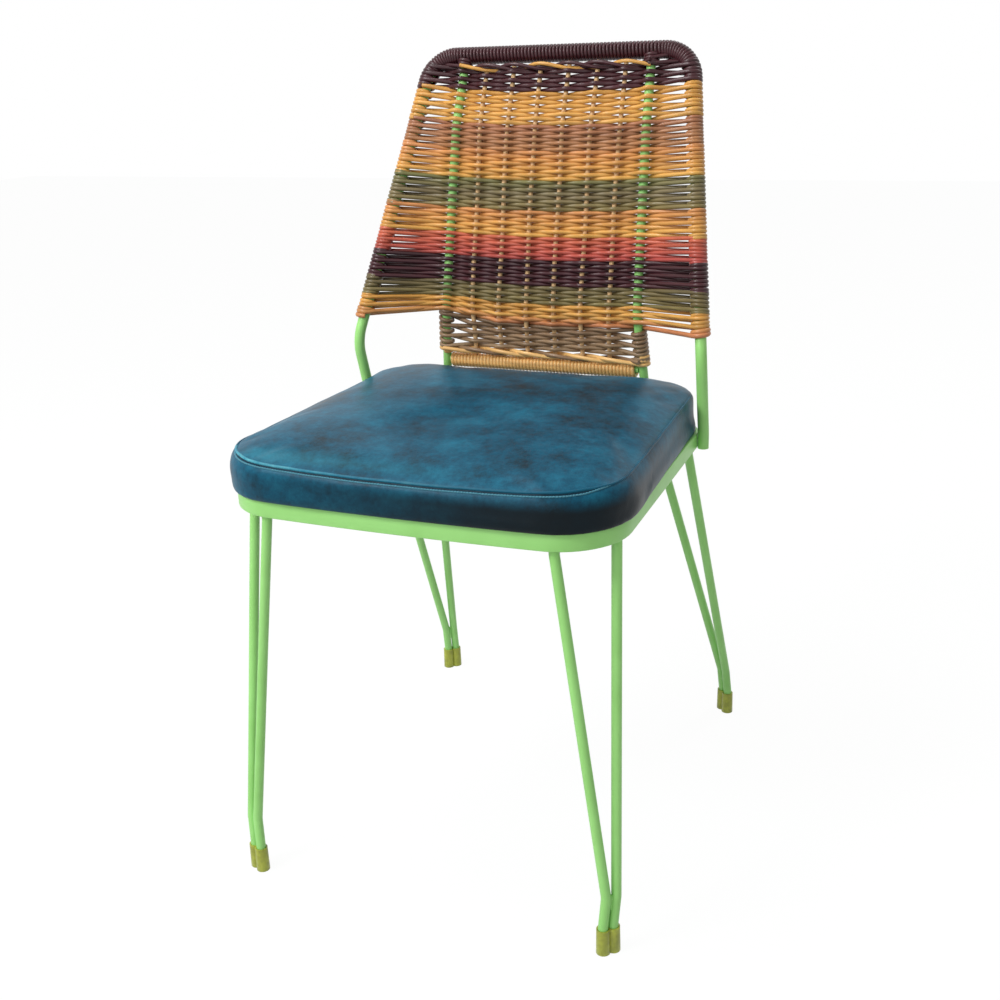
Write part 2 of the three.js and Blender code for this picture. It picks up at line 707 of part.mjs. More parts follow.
// Uprights of the middle panel, each with its front at a height. The strands turn round the back rods
// towards the hoop, so a rod's front is halfway between those of the two panels that meet there. The
// hoop leans back more than the rods, and strands between the two lie square to the mean of both.
const rodAxis = (z) => rodRoute.direction(rodRoute.lengthAtHeight(z), ROW_PITCH);
const meanAxis = (z) => hoopRoute.direction(hoopRoute.lengthAtHeight(z), ROW_PITCH)
  .lerp(rodAxis(z), 1 - HOOP_LEAN_SHARE).normalize();
function frontOf(axis) {
  const lean = axis.setX(0).normalize();
  return rearward.clone().addScaledVector(lean, -lean.y).negate().normalize();
}
function foldAngle(z) {
  const rod = rodRoute.atHeight(z);
  const tube = hoopRoute.atHeight(z);
  return Math.atan2(rod.y - tube.y, tube.x - rod.x);
}
const stakeUprights = stakeXs.map((x) => ({
  radius: STAKE_DIAMETER / 2,
  front: (z) => frontOf(rodAxis(z)),
  at: (z) => rodRoute.atHeight(z).setX(x),
}));
const rodUpright = (hand) => ({
  radius: rodRadius,
  front: (z) => frontOf(meanAxis(z)).applyAxisAngle(up, (-hand * foldAngle(z)) / 2),
  at: (z) => {
    const place = rodRoute.atHeight(z);
    return place.setX(hand * place.x);
  },
});
const bandUprights = [rodUpright(-1), ...stakeUprights, rodUpright(1)];
const hoopEdge = {
  route: hoopRoute,
  radius: hoopRadius,
  fallShare: HOOP_WRAP_FALL_SHARE,
  axis: meanAxis,
  beside: (z) => rodRoute.atHeight(z),
};
const outerStake = stakeXs[stakeXs.length - 1];
const rodEdge = {
  route: rodRoute,
  radius: rodRadius,
  fallShare: ROD_WRAP_FALL_SHARE,
  axis: rodAxis,
  beside: (z) => rodRoute.atHeight(z).setX(outerStake),
};

// Bands from the top down, each with its part of the rows. The rows fill the height between the top
// bar and the skirt.
const bandList = [
  ['weave_plum_top', 4, plum],
  ['weave_ochre_upper', 8, ochre],
  ['weave_pink_brown', 8, pinkBrown],
  ['weave_orange_upper', 8, orange],
  ['weave_olive_grey', 8, olive],
  ['weave_orange_lower', 7, orange],
  ['weave_red', 7, red],
  ['weave_plum_lower', 7, plum],
  ['weave_olive_lower', 5, khaki],
  ['weave_ochre_lower', 4, ochre],
  ['weave_pink_lower', 2, pink],
];

const weaveTop = hoopTop.z - WEAVE_BELOW_BAR;
const weaveBottom = crossbarAt.z + WEAVE_ABOVE_CROSSBAR;
const rowCount = Math.round((weaveTop - weaveBottom) / ROW_PITCH);
const rowPitch = (weaveTop - weaveBottom) / rowCount;
const listedRows = bandList.reduce((sum, [, count]) => sum + count, 0);
let rowIndex = 0;
let listed = 0;
for (const [name, count, material] of bandList) {
  listed += count;
  const nextIndex = Math.round((rowCount * listed) / listedRows);
  const rows = Array.from({ length: nextIndex - rowIndex }, (_, r) => {
    const edge = weaveTop - (rowIndex + r + 0.5) * rowPitch;
    const topShare = clamp((rowIndex + r) / bandList[0][1], 0, 1);
    const lowShare = clamp((rowIndex + r - bandList[0][1]) / (rowCount - bandList[0][1]), 0, 1);
    const sag = lerp(TOP_ROW_SAG, ROW_SAG, topShare) + (LAST_ROW_SAG - ROW_SAG) * lowShare;
    return { edge, middle: edge - sag };
  });
  add(name, band(hoopEdge, bandUprights, rows, rowIndex), material);
  rowIndex = nextIndex;
}

// Skirt: the same weave between the back rods, wound round them

function skirt(name, count, firstRow, material) {
  const rows = Array.from({ length: count }, (_, r) => ({
    edge: weaveBottom - SKIRT_DROP_AT_ROD - (firstRow + r) * SKIRT_PITCH_AT_ROD,
    middle: weaveBottom - SKIRT_DROP_AT_MIDDLE - (firstRow + r) * SKIRT_PITCH_AT_MIDDLE,
  }));
  add(name, band(rodEdge, stakeUprights, rows, firstRow + rowCount), material);
}
skirt('skirt_grey_brown', 7, 0, greyBrown);
skirt('skirt_tan', 2, 7, tan);

// Top binding: three windings on the hoop's top, broken where the back rods meet the bar

const topRoute = hoopRoute;
const bindingStart = topRoute.lengthAtHeight(weaveTop) + 1.5 * ROW_PITCH;
const rodGap = rodRadius / Math.cos(Math.PI / ROD_SIDES) + 2 * GAP;
const barMiddle = topRoute.length / 2;
const windings = [
  ['top_binding_right', bindingStart, barMiddle - rodTop.x - rodGap],
  ['top_binding_middle', barMiddle - rodTop.x + rodGap, barMiddle + rodTop.x - rodGap],
  ['top_binding_left', barMiddle + rodTop.x + rodGap, topRoute.length - bindingStart],
];
for (const [name, from, to] of windings) {
  add(name, ribbedSleeve(
    topRoute, from, to, BINDING_PITCH, BINDING_OUTER_DIAMETER, BINDING_GROOVE, HOOP_DIAMETER, SLEEVE_SIDES,
  ), plum);
}

// Top border: two strands twisted round each other in front of the stakes

const borderZ = hoopTop.z - BORDER_BELOW_BAR;

function borderStrand(phase) {
  const half = rodTop.x - rodRadius;
  const steps = Math.round((2 * half) / BORDER_TWIST_PITCH) * WRAP_STEPS;
  const middle = rodRoute.atHeight(borderZ);
  const front = middle.y - rodRadius - GAP - BORDER_STRAND_DIAMETER - BORDER_TWIST_RADIUS;
  const points = Array.from({ length: steps + 1 }, (_, i) => {
    const x = lerp(-half, half, i / steps);
    const angle = phase + (2 * Math.PI * (x + half)) / BORDER_TWIST_PITCH;
    return vec(x, front + BORDER_TWIST_RADIUS * Math.cos(angle), borderZ + BORDER_TWIST_RADIUS * Math.sin(angle));
  });
  return bar(points, BORDER_STRAND_DIAMETER, stakeSides, up);
}
add('top_border_plum', borderStrand(0), plum);
add('top_border_ochre', borderStrand(Math.PI), ochre);

// Seat board, foam and cover

const seatGap = RAIL_TOP + GAP;
const boardGeometry = new THREE.ExtrudeGeometry(shapeOf(railOutline(-BOARD_INSET, BEND_STEPS)), {
  depth: BOARD_THICKNESS,
  bevelEnabled: false,
});
boardGeometry.translate(0, 0, seatGap);
add('seat_board', boardGeometry, plywood);

// How far forward a place on the outline is, 1 at the middle of the front and 0 elsewhere.
function frontness(point) {
  const depth = clamp((-point.y / HALF_DEPTH - 0.6) / 0.4, 0, 1);
  const middle = clamp(1 - (point.x / RAIL_HALF_WIDTH) ** 2, 0, 1);
  return depth * middle;
}

// The cushion swells over the rail at the front and sides. The hoop's uprights press it in from where
// they stand, and it stays ahead of the back rods at its height.
function swell(point, free, beside, height) {
  const tuck = clamp((point.y - hoopBaseY + TUCK_LENGTH * 2) / TUCK_LENGTH, 0, 1);
  const behind = clamp((point.y - hoopBaseY) / TUCK_LENGTH, 0, 1);
  const rodFront = rodRoute.atHeight(height).y - rodRadius / Math.cos(Math.PI / ROD_SIDES) - ROD_CLEARANCE;
  return lerp(free, lerp(beside, rodFront - HALF_DEPTH, behind), tuck);
}

// Heights and offsets round the cushion. Every surface of it is this form, drawn in by an inset.
function cushionRings(inset, bottom) {
  const outline = (offset) => railOutline(offset, CORNER_STEPS - 1, CUSHION_SIDE_SHARES);
  const base = outline(0);
  const ring = (offset, height) => base.map((point, i) => {
    const moved = outline(offset(point, height(point) + inset) - inset)[i];
    return vec(moved.x, moved.y, height(point));
  });
  const rise = (point) => SEAM_RISE_REAR * clamp((point.y + HALF_DEPTH) / RAIL_DEPTH, 0, 1);
  const dip = (point) => SEAM_FRONT_DIP * frontness(point);
  const seamZ = (point) => RAIL_TOP + SEAM_HEIGHT + rise(point) - dip(point) - inset;
  const levels = [
    ring(() => -COVER_HEM_INSET, () => bottom),
    ring(
      (p, z) => swell(p, COVER_BULGE * 0.55, -UPRIGHT_TUCK, z),
      () => RAIL_TOP + COVER_BULGE_HEIGHT * 0.4,
    ),
    ring(
      (p, z) => swell(p, COVER_BULGE + frontness(p), -UPRIGHT_TUCK, z),
      () => RAIL_TOP + COVER_BULGE_HEIGHT,
    ),
    ring(
      (p, z) => swell(p, COVER_BULGE * 0.75 + SEAM_FRONT_BULGE * 0.7 * frontness(p), -UPRIGHT_TUCK, z),
      (p) => seamZ(p) - COVER_BULGE,
    ),
    ring(
      (p, z) => swell(p, -SEAM_INSET + SEAM_FRONT_BULGE * frontness(p), -2 * UPRIGHT_TUCK, z),
      (p) => seamZ(p),
    ),
  ];
  const seam = levels[levels.length - 1];
  for (const share of CROWN_SHARES) {
    levels.push(seam.map((p) => vec(p.x * share, p.y * share, p.z + CROWN_HEIGHT * (1 - share ** 2.6))));
  }
  const apex = seam.reduce((sum, p) => sum + p.z, 0) / seam.length + CROWN_HEIGHT;
  return { levels, apex };
}

// A bowl-shaped solid between an outer and an inner cushion form, or a full one where none is given.
function cushionSolid(outer, inner) {
  const count = outer.levels[0].length;
  const points = [];
  const faces = [];
  const addForm = (form, flip) => {
    const first = points.length;
    form.levels.forEach((ring) => points.push(...ring));
    points.push(vec(0, 0, form.apex));
    const top = points.length - 1;
    for (let i = 0; i < form.levels.length; i += 1) {
      for (let j = 0; j < count; j += 1) {
        const k = (j + 1) % count;
        const a = first + i * count;
        const quad = i < form.levels.length - 1
          ? [[a + j, a + k, a + count + k], [a + j, a + count + k, a + count + j]]
          : [[a + j, a + k, top]];
        faces.push(...(flip ? quad.map(([p, q, r]) => [p, r, q]) : quad));
      }
    }
    return first;
  };
  const outerFirst = addForm(outer, false);
  if (inner) {
    const innerFirst = addForm(inner, true);
    for (let j = 0; j < count; j += 1) {
      const k = (j + 1) % count;
      faces.push([outerFirst + j, innerFirst + k, outerFirst + k], [outerFirst + j, innerFirst + j, innerFirst + k]);
    }
  } else {
    points.push(vec(0, 0, outer.levels[0][0].z));
    const bottom = points.length - 1;
    for (let j = 0; j < count; j += 1) faces.push([outerFirst + (j + 1) % count, outerFirst + j, bottom]);
  }
  return solidFrom(points, faces);
}

const coverOutside = cushionRings(0, seatGap);
const coverInside = cushionRings(COVER_THICKNESS, seatGap);
add('cushion_cover', cushionSolid(coverOutside, coverInside), leatherette);
const foamForm = cushionRings(COVER_THICKNESS + FOAM_CLEARANCE, seatGap + BOARD_THICKNESS + GAP);
foamForm.levels.splice(1, 1);
foamForm.levels.splice(-2, 1);
add('cushion_foam', cushionSolid(foamForm, null), foam);

// Fixing tabs inside the rail, and a screw through each into the board

const tabReach = RAIL_THICKNESS + GAP;
const tabShape = new THREE.Shape([
  new THREE.Vector2(0, -TAB_WIDTH / 2),
  new THREE.Vector2(TAB_LENGTH - TAB_WIDTH / 4, -TAB_WIDTH / 2),
  new THREE.Vector2(TAB_LENGTH, -TAB_WIDTH / 4),
  new THREE.Vector2(TAB_LENGTH, TAB_WIDTH / 4),
  new THREE.Vector2(TAB_LENGTH - TAB_WIDTH / 4, TAB_WIDTH / 2),
  new THREE.Vector2(0, TAB_WIDTH / 2),
]);
const holeX = TAB_LENGTH / 2;
const hole = new THREE.Path();
hole.absarc(holeX, 0, SCREW_HOLE_DIAMETER / 2, 0, 2 * Math.PI, true);
tabShape.holes.push(hole);

const tabSpots = [
  ['front', 0, outlineY(-tabReach, TAB_WIDTH / 2, -1), Math.PI / 2],
  ['rear', 0, HALF_DEPTH - tabReach, -Math.PI / 2],
  ['right', outlineX(-tabReach, TAB_WIDTH / 2), 0, Math.PI],
  ['left', -outlineX(-tabReach, TAB_WIDTH / 2), 0, 0],
];
for (const [place, x, y, turn] of tabSpots) {
  const plate = new THREE.ExtrudeGeometry(tabShape, { depth: TAB_THICKNESS, bevelEnabled: false, curveSegments: 5 });
  const tab = add(`${place}_fixing_tab`, plate, paint);
  tab.position.set(x, y, RAIL_TOP - TAB_THICKNESS);
  tab.rotation.z = turn;
  const head = SCREW_HEAD_DIAMETER / 2;
  const shank = SCREW_DIAMETER / 2;
  const profile = [
    new THREE.Vector2(0, 0),
    new THREE.Vector2(head * 0.7, 0),
    new THREE.Vector2(head, SCREW_HEAD_HEIGHT * 0.6),
    new THREE.Vector2(head, SCREW_HEAD_HEIGHT),
    new THREE.Vector2(shank, SCREW_HEAD_HEIGHT),
    new THREE.Vector2(shank, SCREW_HEAD_HEIGHT + GAP + TAB_THICKNESS),
    new THREE.Vector2(0, SCREW_HEAD_HEIGHT + GAP + TAB_THICKNESS),
  ];
  const screw = new THREE.LatheGeometry(profile, ROD_SIDES);
  screw.rotateX(Math.PI / 2);
  screw.translate(
    x + holeX * Math.cos(turn),
    y + holeX * Math.sin(turn),
    RAIL_TOP - TAB_THICKNESS - SCREW_HEAD_HEIGHT - GAP,
  );
  add(`${place}_seat_screw`, screw, zinc);
}

// The middle of the footprint goes to the origin

chair.updateMatrixWorld(true);
const box = new THREE.Box3().setFromObject(chair, true);
chair.position.set(-(box.min.x + box.max.x) / 2, -(box.min.y + box.max.y) / 2, -box.min.z);

const model = new THREE.Group();
model.add(chair);

export default model;
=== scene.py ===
"""Cafe chair: painted rod frame, amber foot caps, woven strand back and a padded seat."""

import math
from collections import namedtuple
from functools import cache

import bmesh
import bpy
from bpy.props import FloatProperty, FloatVectorProperty, IntProperty, PointerProperty
from mathutils import Matrix, Quaternion, Vector
from mathutils.bvhtree import BVHTree


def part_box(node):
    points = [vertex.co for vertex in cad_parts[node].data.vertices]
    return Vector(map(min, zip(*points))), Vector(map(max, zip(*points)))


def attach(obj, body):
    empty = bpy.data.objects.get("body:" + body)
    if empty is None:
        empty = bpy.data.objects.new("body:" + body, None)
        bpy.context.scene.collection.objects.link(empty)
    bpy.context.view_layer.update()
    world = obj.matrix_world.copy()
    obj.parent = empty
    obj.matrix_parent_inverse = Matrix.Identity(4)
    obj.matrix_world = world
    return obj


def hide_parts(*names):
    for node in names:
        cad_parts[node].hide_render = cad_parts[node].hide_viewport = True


bl_info = {
    "name": "Cafe chair with a woven back",
    "version": (1, 0, 0),
    "blender": (4, 5, 0),
    "location": "View3D > Sidebar > Cafe chair",
    "description": "Rod frame, foot caps, woven strand back and padded seat of a cafe chair",
    "category": "Object",
}

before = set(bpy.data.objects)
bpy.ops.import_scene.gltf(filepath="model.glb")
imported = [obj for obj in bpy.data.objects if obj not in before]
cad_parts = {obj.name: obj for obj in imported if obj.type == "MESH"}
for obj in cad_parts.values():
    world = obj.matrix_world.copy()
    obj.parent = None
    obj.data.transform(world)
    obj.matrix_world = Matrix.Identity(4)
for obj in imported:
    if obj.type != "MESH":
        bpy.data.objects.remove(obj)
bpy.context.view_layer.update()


# Sizes that the frame gives

def mm(value):
    return value * 0.001


# The seat rail's ring, whose front bows out. Places are given from the middle of its depth.
RAIL_LOW, RAIL_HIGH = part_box("seat_rail")
RAIL_BOW = mm(3)
RAIL_DEPTH = RAIL_HIGH[1] - RAIL_LOW[1] - RAIL_BOW
RAIL_MIDDLE = (RAIL_LOW[1] + RAIL_HIGH[1] + RAIL_BOW) / 2
RAIL_BOTTOM = RAIL_LOW[2]
RAIL_TOP = RAIL_HIGH[2]
RAIL_WIDTH_FRONT = mm(406)
RAIL_WIDTH_REAR = mm(386)
RAIL_RADIUS_FRONT = mm(66)
RAIL_RADIUS_REAR = mm(48)
RAIL_THICKNESS = mm(5)
RAIL_FRONT = RAIL_MIDDLE - RAIL_DEPTH / 2
RAIL_REAR = RAIL_MIDDLE + RAIL_DEPTH / 2
ROD_RADIUS = mm(5)
HOOP_RADIUS = mm(6)
# Welded and seated pieces stand this far apart, as the frame's do.
GAP = mm(0.3)
HANDS = (("right", 1), ("left", -1))


def place(x, y, z):
    """A point given in millimetres from the floor under the seat rail's middle."""
    return Vector((mm(x), RAIL_MIDDLE + mm(y), mm(z)))


def mix(a, b, share):
    return a + (b - a) * share


def clamp(value, low=0.0, high=1.0):
    return max(low, min(high, value))


# Sizes and colours that a user may change

def linear(code):
    """A colour written as sRGB hex, as the linear one that the shaders take."""
    parts = [int(code[i:i + 2], 16) / 255 for i in (1, 3, 5)]
    return [p / 12.92 if p <= 0.04045 else ((p + 0.055) / 1.055) ** 2.4 for p in parts]


def length(name, description, millimetres):
    return FloatProperty(name=name, description=description, default=mm(millimetres), unit="LENGTH",
                         precision=5)


def amount(name, description, value, **more):
    return FloatProperty(name=name, description=description, default=value, min=0, **more)


def colour(name, description, code):
    return FloatVectorProperty(name=name, description=description, default=linear(code), subtype="COLOR",
                               size=3, min=0, max=1)


class ChairFrameSettings(bpy.types.PropertyGroup):
    rod: length("Rod", "Diameter of the leg rods and back rods", 10)
    hoop: length("Hoop tube", "Diameter of the back hoop's tube", 12)
    crossbar: length("Crossbar", "Diameter of the rod under the skirt", 8)
    weld: length("Weld", "Length of the weld that joins a pair of leg rods", 12)
    cap_radius: length("Foot cap", "Radius of each lobe of a foot cap", 6.9)
    cap_height: length("Cap height", "Height of a foot cap", 27)
    paint: colour("Paint", "Pale green powder coat", "#9edd7f")
    paint_thin: colour("Thin paint", "The same coat where it lies thinner", "#95d475")
    cap: colour("Cap", "Amber vinyl of the foot caps", "#b8bf45")


class ChairWeaveSettings(bpy.types.PropertyGroup):
    strand: length("Strand", "Diameter of the round strand where its rows lie 4 mm apart", 4.75)
    skirt_strand: length("Skirt strand", "Diameter of the strand in the skirt's rows", 4.9)
    winding: length("Winding strand", "Diameter of the strand round the top bar and the crossbar", 4.05)
    stake: length("Stake", "Diameter of the cane stakes", 5.2)
    binding_pitch: length("Binding pitch", "Distance between turns on the top bar", 4.15)
    bend_pitch: length("Pitch at bends", "Distance between turns round the hoop's corners", 3.2)
    wrap_pitch: length("Crossbar pitch", "Distance between turns on the crossbar", 4.15)
    sides: IntProperty(name="Sides", description="Facets round a strand", default=8, min=5, max=16)
    plum: colour("Plum", "Top rows, top binding and the lower dark band", "#421d23")
    ochre: colour("Ochre", "Second band and the low yellow band", "#dba353")
    pink_brown: colour("Pink-brown", "Third band", "#ab7752")
    orange: colour("Orange", "Bands above and below the olive-grey one", "#d99c52")
    olive_grey: colour("Olive-grey", "Fifth band", "#7d6f50")
    red: colour("Red", "Seventh band", "#c05c49")
    khaki: colour("Khaki", "Ninth band", "#796b44")
    pink: colour("Pink-orange", "Last band", "#c98752")
    grey_brown: colour("Grey-brown", "Skirt between the back rods", "#97795b")
    tan: colour("Tan", "Crossbar winding and the skirt's border", "#fbc980")
    cane: colour("Cane", "Natural cane of the stakes", "#ecc28c")


class ChairSeatSettings(bpy.types.PropertyGroup):
    voxel: length("Remesh size", "Size of the padded seat's mesh before it swells", 5)
    swell: length("Swelling", "How far the pressure may push the cover out", 2.5)
    pressure: amount("Pressure", "Pressure in the padded seat", 4)
    stitch: length("Stitch", "Distance between stitches of the front seam", 2.9)
    welt: length("Welt", "Radius of a raised welt of the seam", 1.5)
    teal: colour("Teal", "Main colour of the mottled leatherette", "#0f4c64")
    slate: colour("Slate", "Dark patches of the leatherette", "#122832")
    pale: colour("Pale teal", "Light patches of the leatherette", "#1b6a84")


class ChairStageSettings(bpy.types.PropertyGroup):
    lens: amount("Lens", "Focal length on a 36 mm sensor", 45.305, unit="CAMERA")
    key: amount("Key light", "Power of the large soft light at the left", 47)
    front: amount("Front light", "Power of the low soft light in front", 12)
    rear: amount("Rear light", "Power of the soft light behind", 13)
    sky: amount("Sky", "Strength of the even light all round", 0.42)
    floor: colour("Floor", "Pale floor", "#c6cac7")


# Paths

def rounded(corners, radii, steps=12):
    """Points along straight runs whose corners are rounded by arcs."""
    points = [corners[0].copy()]
    for before, corner, after, radius in zip(corners, corners[1:], corners[2:], radii):
        back = (before - corner).normalized()
        ahead = (after - corner).normalized()
        half = back.angle(ahead) / 2
        reach = radius / math.tan(half)
        centre = corner + (back + ahead).normalized() * (radius / math.sin(half))
        start = corner + back * reach - centre
        axis = start.cross(corner + ahead * reach - centre).normalized()
        sweep = math.pi - 2 * half
        for step in range(steps + 1):
            points.append(Quaternion(axis, sweep * step / steps) @ start + centre)
    points.append(corners[-1].copy())
    return points


class Route:
    """Length along a path, and the point and direction at a length or a height."""

    def __init__(self, points):
        self.points = points
        self.reach = [0.0]
        for a, b in zip(points, points[1:]):
            self.reach.append(self.reach[-1] + (b - a).length)
        self.length = self.reach[-1]

    def at(self, run):
        i = 1
        while i < len(self.reach) - 1 and self.reach[i] < run:
            i += 1
        share = (run - self.reach[i - 1]) / (self.reach[i] - self.reach[i - 1])
        return self.points[i - 1].lerp(self.points[i], share)

    def direction(self, run, reach=0.004):
        return (self.at(run + reach) - self.at(run - reach)).normalized()

    def run_at(self, z):
        i = 1
        while i < len(self.points) - 1 and self.points[i].z < z:
            i += 1
        low, high = self.points[i - 1].z, self.points[i].z
        return mix(self.reach[i - 1], self.reach[i], (z - low) / (high - low))

    def at_height(self, z):
        return self.at(self.run_at(z))


def smooth_run(knots, spacing):
    """Points on a smooth curve through the knots, which lies still between close and far ones."""
    first = knots[0] * 2 - knots[1]
    last = knots[-1] * 2 - knots[-2]
    held = [first, *knots, last]
    points = []
    for p0, p1, p2, p3 in zip(held, held[1:], held[2:], held[3:]):
        t1 = (p1 - p0).length ** 0.5
        t2 = t1 + (p2 - p1).length ** 0.5
        t3 = t2 + (p3 - p2).length ** 0.5
        count = max(1, round((p2 - p1).length / spacing))
        for step in range(count):
            t = t1 + (t2 - t1) * step / count
            a1 = p0 * ((t1 - t) / t1) + p1 * (t / t1)
            a2 = p1 * ((t2 - t) / (t2 - t1)) + p2 * ((t - t1) / (t2 - t1))
            a3 = p2 * ((t3 - t) / (t3 - t2)) + p3 * ((t - t2) / (t3 - t2))
            b1 = a1 * ((t2 - t) / t2) + a2 * (t / t2)
            b2 = a2 * ((t3 - t) / (t3 - t1)) + a3 * ((t - t1) / (t3 - t1))
            points.append(b1 * ((t2 - t) / (t2 - t1)) + b2 * ((t - t1) / (t2 - t1)))
    points.append(knots[-1].copy())
    return points


def shares_across(count):
    """Shares from just under 1 to just over -1 in even steps."""
    return [1 - 2 * i / count for i in range(1, count)]


@cache
def rail_outline(offset, steps=14):
    """Points round the rail's outer face, moved outward by an offset, counter-clockwise from above."""
    half = RAIL_DEPTH / 2
    front, rear = RAIL_WIDTH_FRONT / 2, RAIL_WIDTH_REAR / 2
    lean = math.atan2(front - rear, RAIL_DEPTH)
    corners = [
        (1, -1, RAIL_RADIUS_FRONT, -math.pi / 2, lean),
        (1, 1, RAIL_RADIUS_REAR, lean, math.pi / 2),
        (-1, 1, RAIL_RADIUS_REAR, math.pi / 2, math.pi - lean),
        (-1, -1, RAIL_RADIUS_FRONT, math.pi - lean, 1.5 * math.pi),
    ]
    points = []
    for hand, end, radius, low, high in corners:
        in_y = end * (half - radius)
        face = mix(front, rear, (in_y + half) / RAIL_DEPTH)
        in_x = hand * (face - radius / math.cos(lean))
        for step in range(steps + 1):
            angle = mix(low, high, step / steps)
            points.append(Vector((in_x + (radius + offset) * math.cos(angle),
                                  in_y + (radius + offset) * math.sin(angle))))
        if (hand, end) == (1, 1):
            points += [Vector((in_x * share, half + offset)) for share in shares_across(10)]
    straight = abs(points[0].x)
    points += [Vector((-straight * share, -half - offset - RAIL_BOW * (1 - share ** 2)))
               for share in shares_across(12)]
    return [Vector((p.x, p.y + RAIL_MIDDLE)) for p in points]


def outline_x(offset, y):
    """How far right the outline reaches at a depth."""
    points = rail_outline(offset)
    for a, b in zip(points, points[1:]):
        if a.x > 0 and b.x > 0 and (a.y - y) * (b.y - y) <= 0 and a.y != b.y:
            return mix(a.x, b.x, (y - a.y) / (b.y - a.y))
    return 0.0


def outline_y(offset, x, end):
    """How far the outline reaches to the front or the rear at a place across it."""
    points = rail_outline(offset)
    for a, b in zip(points, [*points[1:], points[0]]):
        at_end = (a.y - RAIL_MIDDLE) * end > 0 and (b.y - RAIL_MIDDLE) * end > 0
        if at_end and (a.x - x) * (b.x - x) <= 0 and a.x != b.x:
            return mix(a.y, b.y, (x - a.x) / (b.x - a.x))
    return RAIL_MIDDLE + end * (RAIL_DEPTH / 2 + offset)


def mirrored(point):
    return Vector((-point.x, point.y, point.z))


def side_of(point, hand):
    """A point of the right side, moved to the side that is asked for."""
    return point if hand > 0 else mirrored(point)


# The hoop: upright beside the rail, forward knee, raked side, rounded corner and a level top bar.
HOOP_BASE_Y = RAIL_MIDDLE + mm(144.5)
HOOP_BASE_X = outline_x(HOOP_RADIUS + GAP, HOOP_BASE_Y)
HOOP_TOP = place(151.6, 258.5, 817)
HOOP_SIDE = [
    Vector((HOOP_BASE_X, HOOP_BASE_Y, RAIL_BOTTOM)),
    Vector((HOOP_BASE_X, HOOP_BASE_Y, RAIL_TOP)),
    place(202, 121.5, 512),
    HOOP_TOP,
]
HOOP_RADII = [mm(48), mm(48), mm(34), mm(34), mm(48), mm(48)]
HOOP = Route(rounded([*HOOP_SIDE, *[mirrored(p) for p in reversed(HOOP_SIDE)]], HOOP_RADII))

# The back rods: from the rear rail up to the underside of the top bar.
ROD_BASE_X = mm(124.5)
ROD_BASE_Y = RAIL_REAR + GAP + ROD_RADIUS
ROD_KNEE = place(114.8, 181, 545)
ROD_TOP = place(109.5, 252, 810.7)
ROD = Route(rounded([
    Vector((ROD_BASE_X, ROD_BASE_Y, RAIL_BOTTOM)),
    Vector((ROD_BASE_X, ROD_BASE_Y, RAIL_TOP)),
    ROD_KNEE,
    place(112, 223, 740),
    ROD_TOP,
], [mm(60), mm(60), mm(120)]))
CROSSBAR = ROD.at_height(mm(481))
STAKE_SPACING = 2 * ROD_KNEE.x / 7
STAKE_PLACES = [(i - 2.5) * STAKE_SPACING for i in range(6)]


def on_rods(x, z):
    """The place across, at a height, in the sheet that the back rods and stakes share."""
    spot = ROD.at_height(z)
    return Vector((x, spot.y, spot.z))


# Meshes

def only_none():
    bpy.ops.object.select_all(action="DESELECT")


def only(obj):
    """Makes an object the only selected one and the active one."""
    only_none()
    obj.select_set(True)
    bpy.context.view_layer.objects.active = obj


def named(name):
    """The active object, given its name."""
    obj = bpy.context.object
    obj.name = name
    obj.data.name = name
    return obj


def modifier(obj, kind, **settings):
    """Adds a modifier with its settings and applies it."""
    only(obj)
    bpy.ops.object.modifier_add(type=kind)
    added = obj.modifiers[-1]
    for key, value in settings.items():
        setattr(added, key, value)
    bpy.ops.object.modifier_apply(modifier=added.name)


def settle(obj):
    """Puts the object's place, turn and size into its mesh."""
    only(obj)
    bpy.ops.object.transform_apply(location=True, rotation=True, scale=True)


def shade(obj, degrees=40):
    only(obj)
    bpy.ops.object.shade_smooth_by_angle(angle=math.radians(degrees))


def finish_piece(obj, material, slot, *nodes):
    """Gives a piece its material and its ride, and hides the frame's nodes it stands for. The slot is not
    used.
    """
    obj.data.materials.clear()
    obj.data.materials.append(material)
    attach(obj, "root")
    if nodes:
        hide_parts(*nodes)


def paint_piece(obj, *nodes):
    finish_piece(obj, finish_of("paint"), "frame_paint", *nodes)


def dye_piece(obj, kind, *nodes):
    finish_piece(obj, finish_of(kind), f"strand_{kind}", *nodes)


